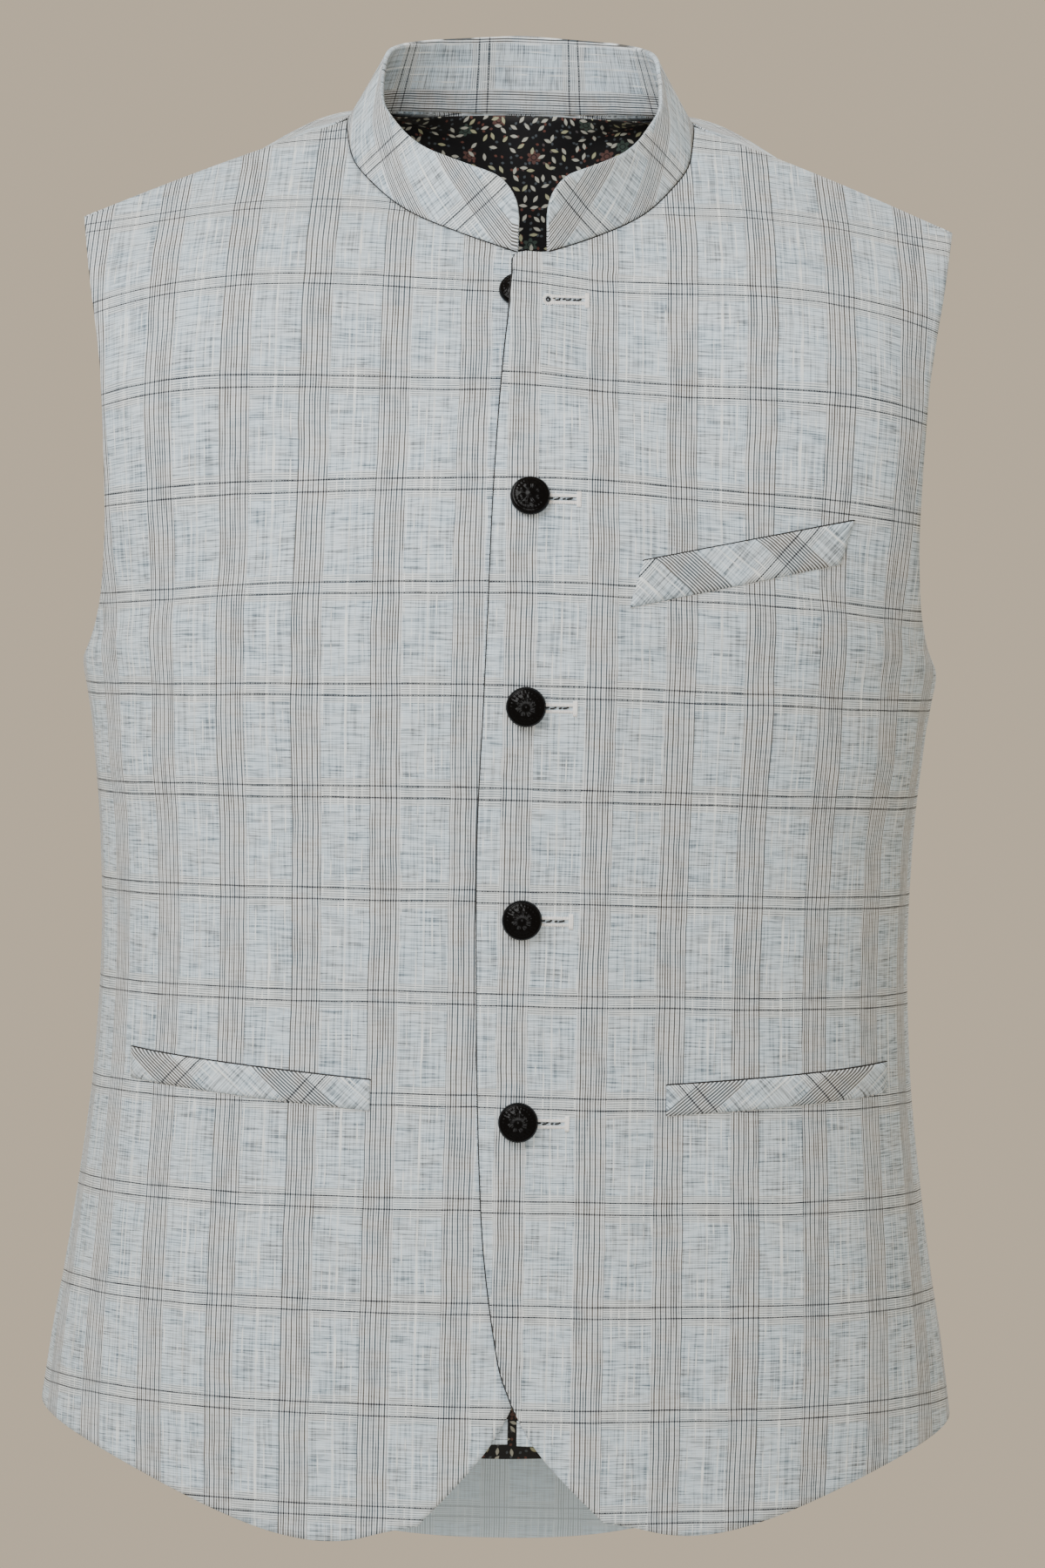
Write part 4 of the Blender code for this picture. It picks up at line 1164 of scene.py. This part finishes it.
def button_shell(number, foot, axis, finish):
    """A domed button with its raised ornament."""
    axis = axis / np.linalg.norm(axis)
    sideways = np.cross(axis, (0.0, 0.0, 1.0))
    sideways /= np.linalg.norm(sideways)
    upward = np.cross(sideways, axis)
    turns = BUTTON_TURNS
    angles = [2 * math.pi * turn / turns for turn in range(turns)]
    rays = [sideways * math.cos(angle) + upward * math.sin(angle) for angle in angles]
    rim = SHANK_HEIGHT + RIM_HEIGHT
    dome = BUTTON_HEIGHT - RIM_HEIGHT - DOME_SINK
    profile = [
        (SHANK_RADIUS, 0.0),
        (SHANK_RADIUS, SHANK_HEIGHT),
        (BUTTON_RADIUS * 0.9, SHANK_HEIGHT + 0.1 * MM),
        (BUTTON_RADIUS * 0.98, SHANK_HEIGHT + 0.5 * MM),
    ]
    points = [foot + axis * height + ray * radius for radius, height in profile for ray in rays]
    faces = []
    for ring in range(BUTTON_RINGS):
        lean = math.pi / 2 * ring / BUTTON_RINGS
        share = math.cos(lean)
        for angle, ray in zip(angles, rays):
            raised = RELIEF_HEIGHT * relief(share, angle)
            points.append(foot + axis * (rim + dome * math.sin(lean) + raised)
                          + ray * (BUTTON_RADIUS - RELIEF_INSET) * share)
    points.append(foot + axis * (rim + dome + HEART_HEIGHT))
    count = len(profile) + BUTTON_RINGS
    for ring in range(count - 1):
        for turn in range(turns):
            here, beside = ring * turns + turn, ring * turns + (turn + 1) % turns
            faces.append((here, beside, beside + turns, here + turns))
    last = (count - 1) * turns
    for turn in range(turns):
        faces.append((last + turn, last + (turn + 1) % turns, len(points) - 1))
    faces.append(tuple(reversed(range(turns))))
    solid = "button_%d" % number
    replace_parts(add_mesh(solid + "_relief", points, faces, None, finish), solid)


def add_buttons(fronts, finish):
    grid, outward, _ = fronts[RIGHT]
    point, axis = place_on(grid, outward, -TOP_BUTTON_X, TOP_BUTTON_Z)
    button_shell(1, mirrored(point + axis * GAP), mirrored(axis), finish)
    grid, outward, _ = fronts[LEFT]
    for number, z in enumerate(FASTENED_BUTTON_Z, start=2):
        point, axis = place_on(grid, outward, CENTRE_FRONT, z)
        button_shell(number, point + axis * GAP, axis, finish)


# A stitch: its sides, and its thickness at shares of its length.
STITCH_SIDES = 6
STITCH_SHAPE = ((0.0, 0.35), (0.15, 0.9), (0.5, 1.0), (0.85, 0.9), (1.0, 0.35))


def add_stitches(name, runs, radius, finish):
    """Short stitches, each a thin capsule from one point to another, as one mesh."""
    points, faces = [], []
    sides = STITCH_SIDES
    for start, end, normal in runs:
        along = end - start
        length = np.linalg.norm(along)
        along = along / length
        lift = normal / np.linalg.norm(normal)
        beside = np.cross(along, lift)
        first = len(points)
        for share, size in STITCH_SHAPE:
            for turn in range(sides):
                angle = 2 * math.pi * turn / sides
                ray = beside * math.cos(angle) + lift * math.sin(angle)
                points.append(start + along * length * share + ray * radius * size)
        for ring in range(4):
            for turn in range(sides):
                here, after = first + ring * sides + turn, first + ring * sides + (turn + 1) % sides
                faces.append((here, after, after + sides, here + sides))
        faces.append(tuple(first + turn for turn in reversed(range(sides))))
        faces.append(tuple(first + 4 * sides + turn for turn in range(sides)))
    return add_mesh(name, points, faces, None, finish)


def painted_shade_line(name, points, outward, radius, finish):
    """A painted shade line: dark stitches along the points that run into one another, where a seam or
    an edge lies in shade.
    """
    runs = []
    for start, end, normal in zip(points[:-1], points[1:], outward[1:]):
        more = (end - start) * 0.3
        runs.append((start - more, end + more, normal))
    add_stitches(name, runs, radius, finish)


def buttonhole_runs(front, eyelet, bar, z):
    """The stitches of a keyhole buttonhole's pale threads, and the dark dashes that paint the shade
    in its slit and its eyelet's hole.
    """
    grid, outward, _ = front
    pale, dark = [], []

    def at(x, height, lift):
        point, normal = place_on(grid, outward, x * CM, height * CM)
        return point + normal * lift * MM, normal

    def around(angle, radius, lift):
        return at(eyelet + radius * math.cos(angle), z + radius * math.sin(angle), lift)

    count = int((bar - eyelet) / THREAD_STEP)
    for step in range(count):
        x = eyelet + 0.12 + (bar - eyelet - 0.12) * step / count
        lean = 0.015 * (step % 3 - 1)
        reach = THREAD_REACH + 0.015 * (step % 2)
        for way in (1, -1):
            start, normal = at(x, z + way * SLIT_HALF, 0.45)
            pale.append((start, at(x + lean, z + way * reach, 0.2)[0], normal))
    for step in range(EYELET_THREADS):
        angle = 2 * math.pi * step / EYELET_THREADS
        start, normal = around(angle, EYELET_INNER, 0.45)
        pale.append((start, around(angle, EYELET_OUTER, 0.2)[0], normal))
        hole = [around(angle + turn, EYELET_HOLE, 0.2)[0] for turn in (0.0, 0.5)]
        dark.append((*hole, normal))
    for step in range(BAR_THREADS):
        x = bar + BAR_STEP * (step - BAR_THREADS // 2)
        start, normal = at(x, z - BAR_HALF, 0.35)
        pale.append((start, at(x, z + BAR_HALF, 0.35)[0], normal))
    for step in range(SLIT_DASHES):
        x = eyelet + (bar - eyelet - 0.2) * step / SLIT_DASHES
        height = z + 0.03 * math.sin(step * 2.3)
        start, normal = at(x, height, 0.3)
        dark.append((start, at(x + 0.10 + 0.07 * (step % 3), height + 0.03, 0.3)[0], normal))
    return pale, dark


# The painted shadow lines under the front's edge and at the collar's foot.
HEM_GAP_TOP = -64.0 * CM
EDGE_SINK = 1.7 * MM
EDGE_SHADOW_PAST = 0.5 * MM
EDGE_SHADOW_RADIUS = 0.5 * MM
COLLAR_SHADOW_RADIUS = 0.28 * MM
# Buttonholes, in centimetres: where the eyelets and bar tacks lie, and their threads.
EYELET_X = 1.55
BAR_X = 3.45
FASTENED_EYELET_X = 1.0
FASTENED_BAR_X = 3.20
THREAD_STEP = 0.052
THREAD_REACH = 0.24
SLIT_HALF = 0.08
SLIT_DASHES = 10
EYELET_THREADS = 22
EYELET_HOLE = 0.09
EYELET_INNER = 0.15
EYELET_OUTER = 0.31
BAR_THREADS = 9
BAR_STEP = 0.022
BAR_HALF = 0.38
WELT_LINE_PIECES = 34
WELT_STITCHES = 42


def add_buttonholes(front, thread, shadow):
    """Keyhole buttonholes in pale thread, each with the painted shade of its slit and hole, and the
    bar tack at its end.
    """
    holes = [(EYELET_X, BAR_X, TOP_BUTTON_Z / CM - 0.35)]
    holes += [(FASTENED_EYELET_X, FASTENED_BAR_X, z / CM - 0.05) for z in FASTENED_BUTTON_Z]
    pale, dark = [], []
    for hole in holes:
        threads, slit = buttonhole_runs(front, *hole)
        pale += threads
        dark += slit
    add_stitches("buttonhole_threads", pale, 0.30 * MM, thread)
    # The slits and eyelet holes are painted shade: dark dashes where the openings lie in shadow.
    add_stitches("buttonhole_slit_shade", dark, 0.42 * MM, shadow)


def add_front_edge_shadow(front, shadow):
    """A painted shadow: the dark line under the overlapping front's edge, down to the gap in the hem.
    """
    grid, outward, _ = front
    above_gap = grid[:, 0, 2] > HEM_GAP_TOP
    edge, away = grid[above_gap, 0], outward[above_gap, 0]
    past = edge - grid[above_gap, 1]
    past *= EDGE_SHADOW_PAST / np.linalg.norm(past, axis=1)[:, None]
    painted_shade_line("front_edge_shadow", edge + past - away * EDGE_SINK, away, EDGE_SHADOW_RADIUS, shadow)


def add_welt_edges(fronts, shadow, thread):
    """The painted shadow line of the pocket mouth over each welt, and the pale stitches under it."""
    dark, pale = [], []
    for welt in WELTS:
        grid, outward, _ = fronts[welt.side]

        def on_front(run, up, below, lift):
            x, z, _ = welt_place(welt, run, up)
            point, normal = place_on(grid, outward, x * CM, (z - below) * CM)
            point = point + normal * lift * MM
            return (mirrored(point), mirrored(normal)) if welt.side == RIGHT else (point, normal)

        # A painted shadow along each welt's top edge, where the pocket mouth lies in shade.
        for step in range(WELT_LINE_PIECES):
            start, normal = on_front((step - 0.2) / WELT_LINE_PIECES, 1.0, -0.02, 0.5)
            end, _ = on_front((step + 1.2) / WELT_LINE_PIECES, 1.0, -0.02, 0.5)
            dark.append((start, end, normal))
        for step in range(WELT_STITCHES):
            start, normal = on_front((step + 0.2) / WELT_STITCHES, 0.0, 0.06, 0.08)
            end, _ = on_front((step + 0.75) / WELT_STITCHES, 0.0, 0.06, 0.08)
            pale.append((start, end, normal))
    add_stitches("welt_mouth_shadow", dark, 0.55 * MM, shadow)
    add_stitches("welt_stitches", pale, 0.16 * MM, thread)


# The camera stands in front of the waistcoat at chest height and looks a little down.
CAMERA_PLACE = (0.0075, -2.87, -0.193)
CAMERA_DOWN = 3.07
CAMERA_ROLL = 1.1
CAMERA_LENS = 84.48
CAMERA_SENSOR = 24.0


def add_camera():
    down, roll = math.radians(CAMERA_DOWN), math.radians(CAMERA_ROLL)
    forward = Vector((0.0, math.cos(down), -math.sin(down)))
    level = Vector((1.0, 0.0, 0.0))
    above = Vector((0.0, math.sin(down), math.cos(down)))
    right = level * math.cos(roll) + above * math.sin(roll)
    upper = above * math.cos(roll) - level * math.sin(roll)
    data = bpy.data.cameras.new("camera")
    data.sensor_fit = "VERTICAL"
    data.sensor_height = CAMERA_SENSOR
    data.lens = CAMERA_LENS
    camera = bpy.data.objects.new("camera", data)
    turned = Matrix((right, upper, -forward)).transposed().to_4x4()
    camera.matrix_world = Matrix.Translation(CAMERA_PLACE) @ turned
    bpy.context.scene.collection.objects.link(camera)
    bpy.context.scene.camera = camera


Lamp = namedtuple("Lamp", "name x y z aim_z size power")
LAMPS = (
    Lamp("key", -1.0, -1.75, 1.20, 0.0, 1.6, 56.0),
    Lamp("fill", 0.0, -2.85, -0.20, -0.20, 1.2, 21.0),
    Lamp("back", 0.9, 2.5, 1.4, -0.15, 1.6, 60.0),
)
BACKGROUND = (0.600, 0.503, 0.373)
FLOOR_TOP = -0.95
FLOOR_RADIUS = 0.8


def add_studio():
    """Soft lamps, an even taupe surround and a small pale floor under the view."""
    for lamp in LAMPS:
        data = bpy.data.lights.new(lamp.name, "AREA")
        data.shape = "DISK"
        data.size = lamp.size
        data.energy = lamp.power
        made = bpy.data.objects.new(lamp.name, data)
        made.visible_camera = False
        place = Vector((lamp.x, lamp.y, lamp.z))
        made.location = place
        aim = Vector((0.0, -0.1, lamp.aim_z)) - place
        made.rotation_euler = aim.to_track_quat("-Z", "Y").to_euler()
        bpy.context.scene.collection.objects.link(made)
    world = bpy.data.worlds.new("surround")
    world.use_nodes = True
    world.node_tree.nodes["Background"].inputs["Color"].default_value = (*BACKGROUND, 1.0)
    bpy.context.scene.world = world
    bpy.ops.mesh.primitive_cylinder_add(vertices=96, radius=FLOOR_RADIUS, depth=0.01,
                                        location=(0.0, -0.1, FLOOR_TOP - 0.005))
    floor = bpy.context.object
    floor.name = "floor"
    floor.data.materials.append(plain("floor_paint", (0.62, 0.60, 0.56), 0.8))


def dress():
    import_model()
    lining = printed_lining()
    left_cloth = check_cloth("check_left", LEFT_BAND, PAIR_PHASE)
    right_cloth = check_cloth("check_right", RIGHT_BAND, PAIR_PHASE)
    fronts = {
        LEFT: front_shell(LEFT, "front_left", left_cloth, lining),
        RIGHT: front_shell(RIGHT, "front_right", right_cloth, lining),
    }
    facing_ends((left_cloth, right_cloth))
    back_cloth = check_cloth("check_back", BACK_BAND, PAIR_PHASE)
    back_shells(back_cloth, check_cloth("check_wrong_side_painted_light", BACK_BAND, PAIR_PHASE, 0.42), lining)
    # One dark material paints the shade in the buttonholes' slits and holes, under the front's edge,
    # at the collar's foot and in the welts' pocket mouths.
    shadow = plain("painted_shade_material", (0.02, 0.02, 0.022), 0.7)
    collar_shell(check_cloth("check_collar", COLLAR_BAND, COLLAR_PAIR, bold=0.2), shadow)
    welt_cloth = check_cloth("check_welt", 0.0, 0.0, bold=0.4)
    for welt in WELTS:
        welt_shell(welt, fronts[welt.side], welt_cloth)
    add_buttons(fronts, plain("button_black", (0.0012, 0.0012, 0.0018), 0.18, 0.11))
    thread = plain("pale_thread", (0.97, 0.98, 0.99), 0.6)
    add_buttonholes(fronts[LEFT], thread, shadow)
    add_front_edge_shadow(fronts[LEFT], shadow)
    add_welt_edges(fronts, shadow, thread)
    add_camera()
    add_studio()


dress()
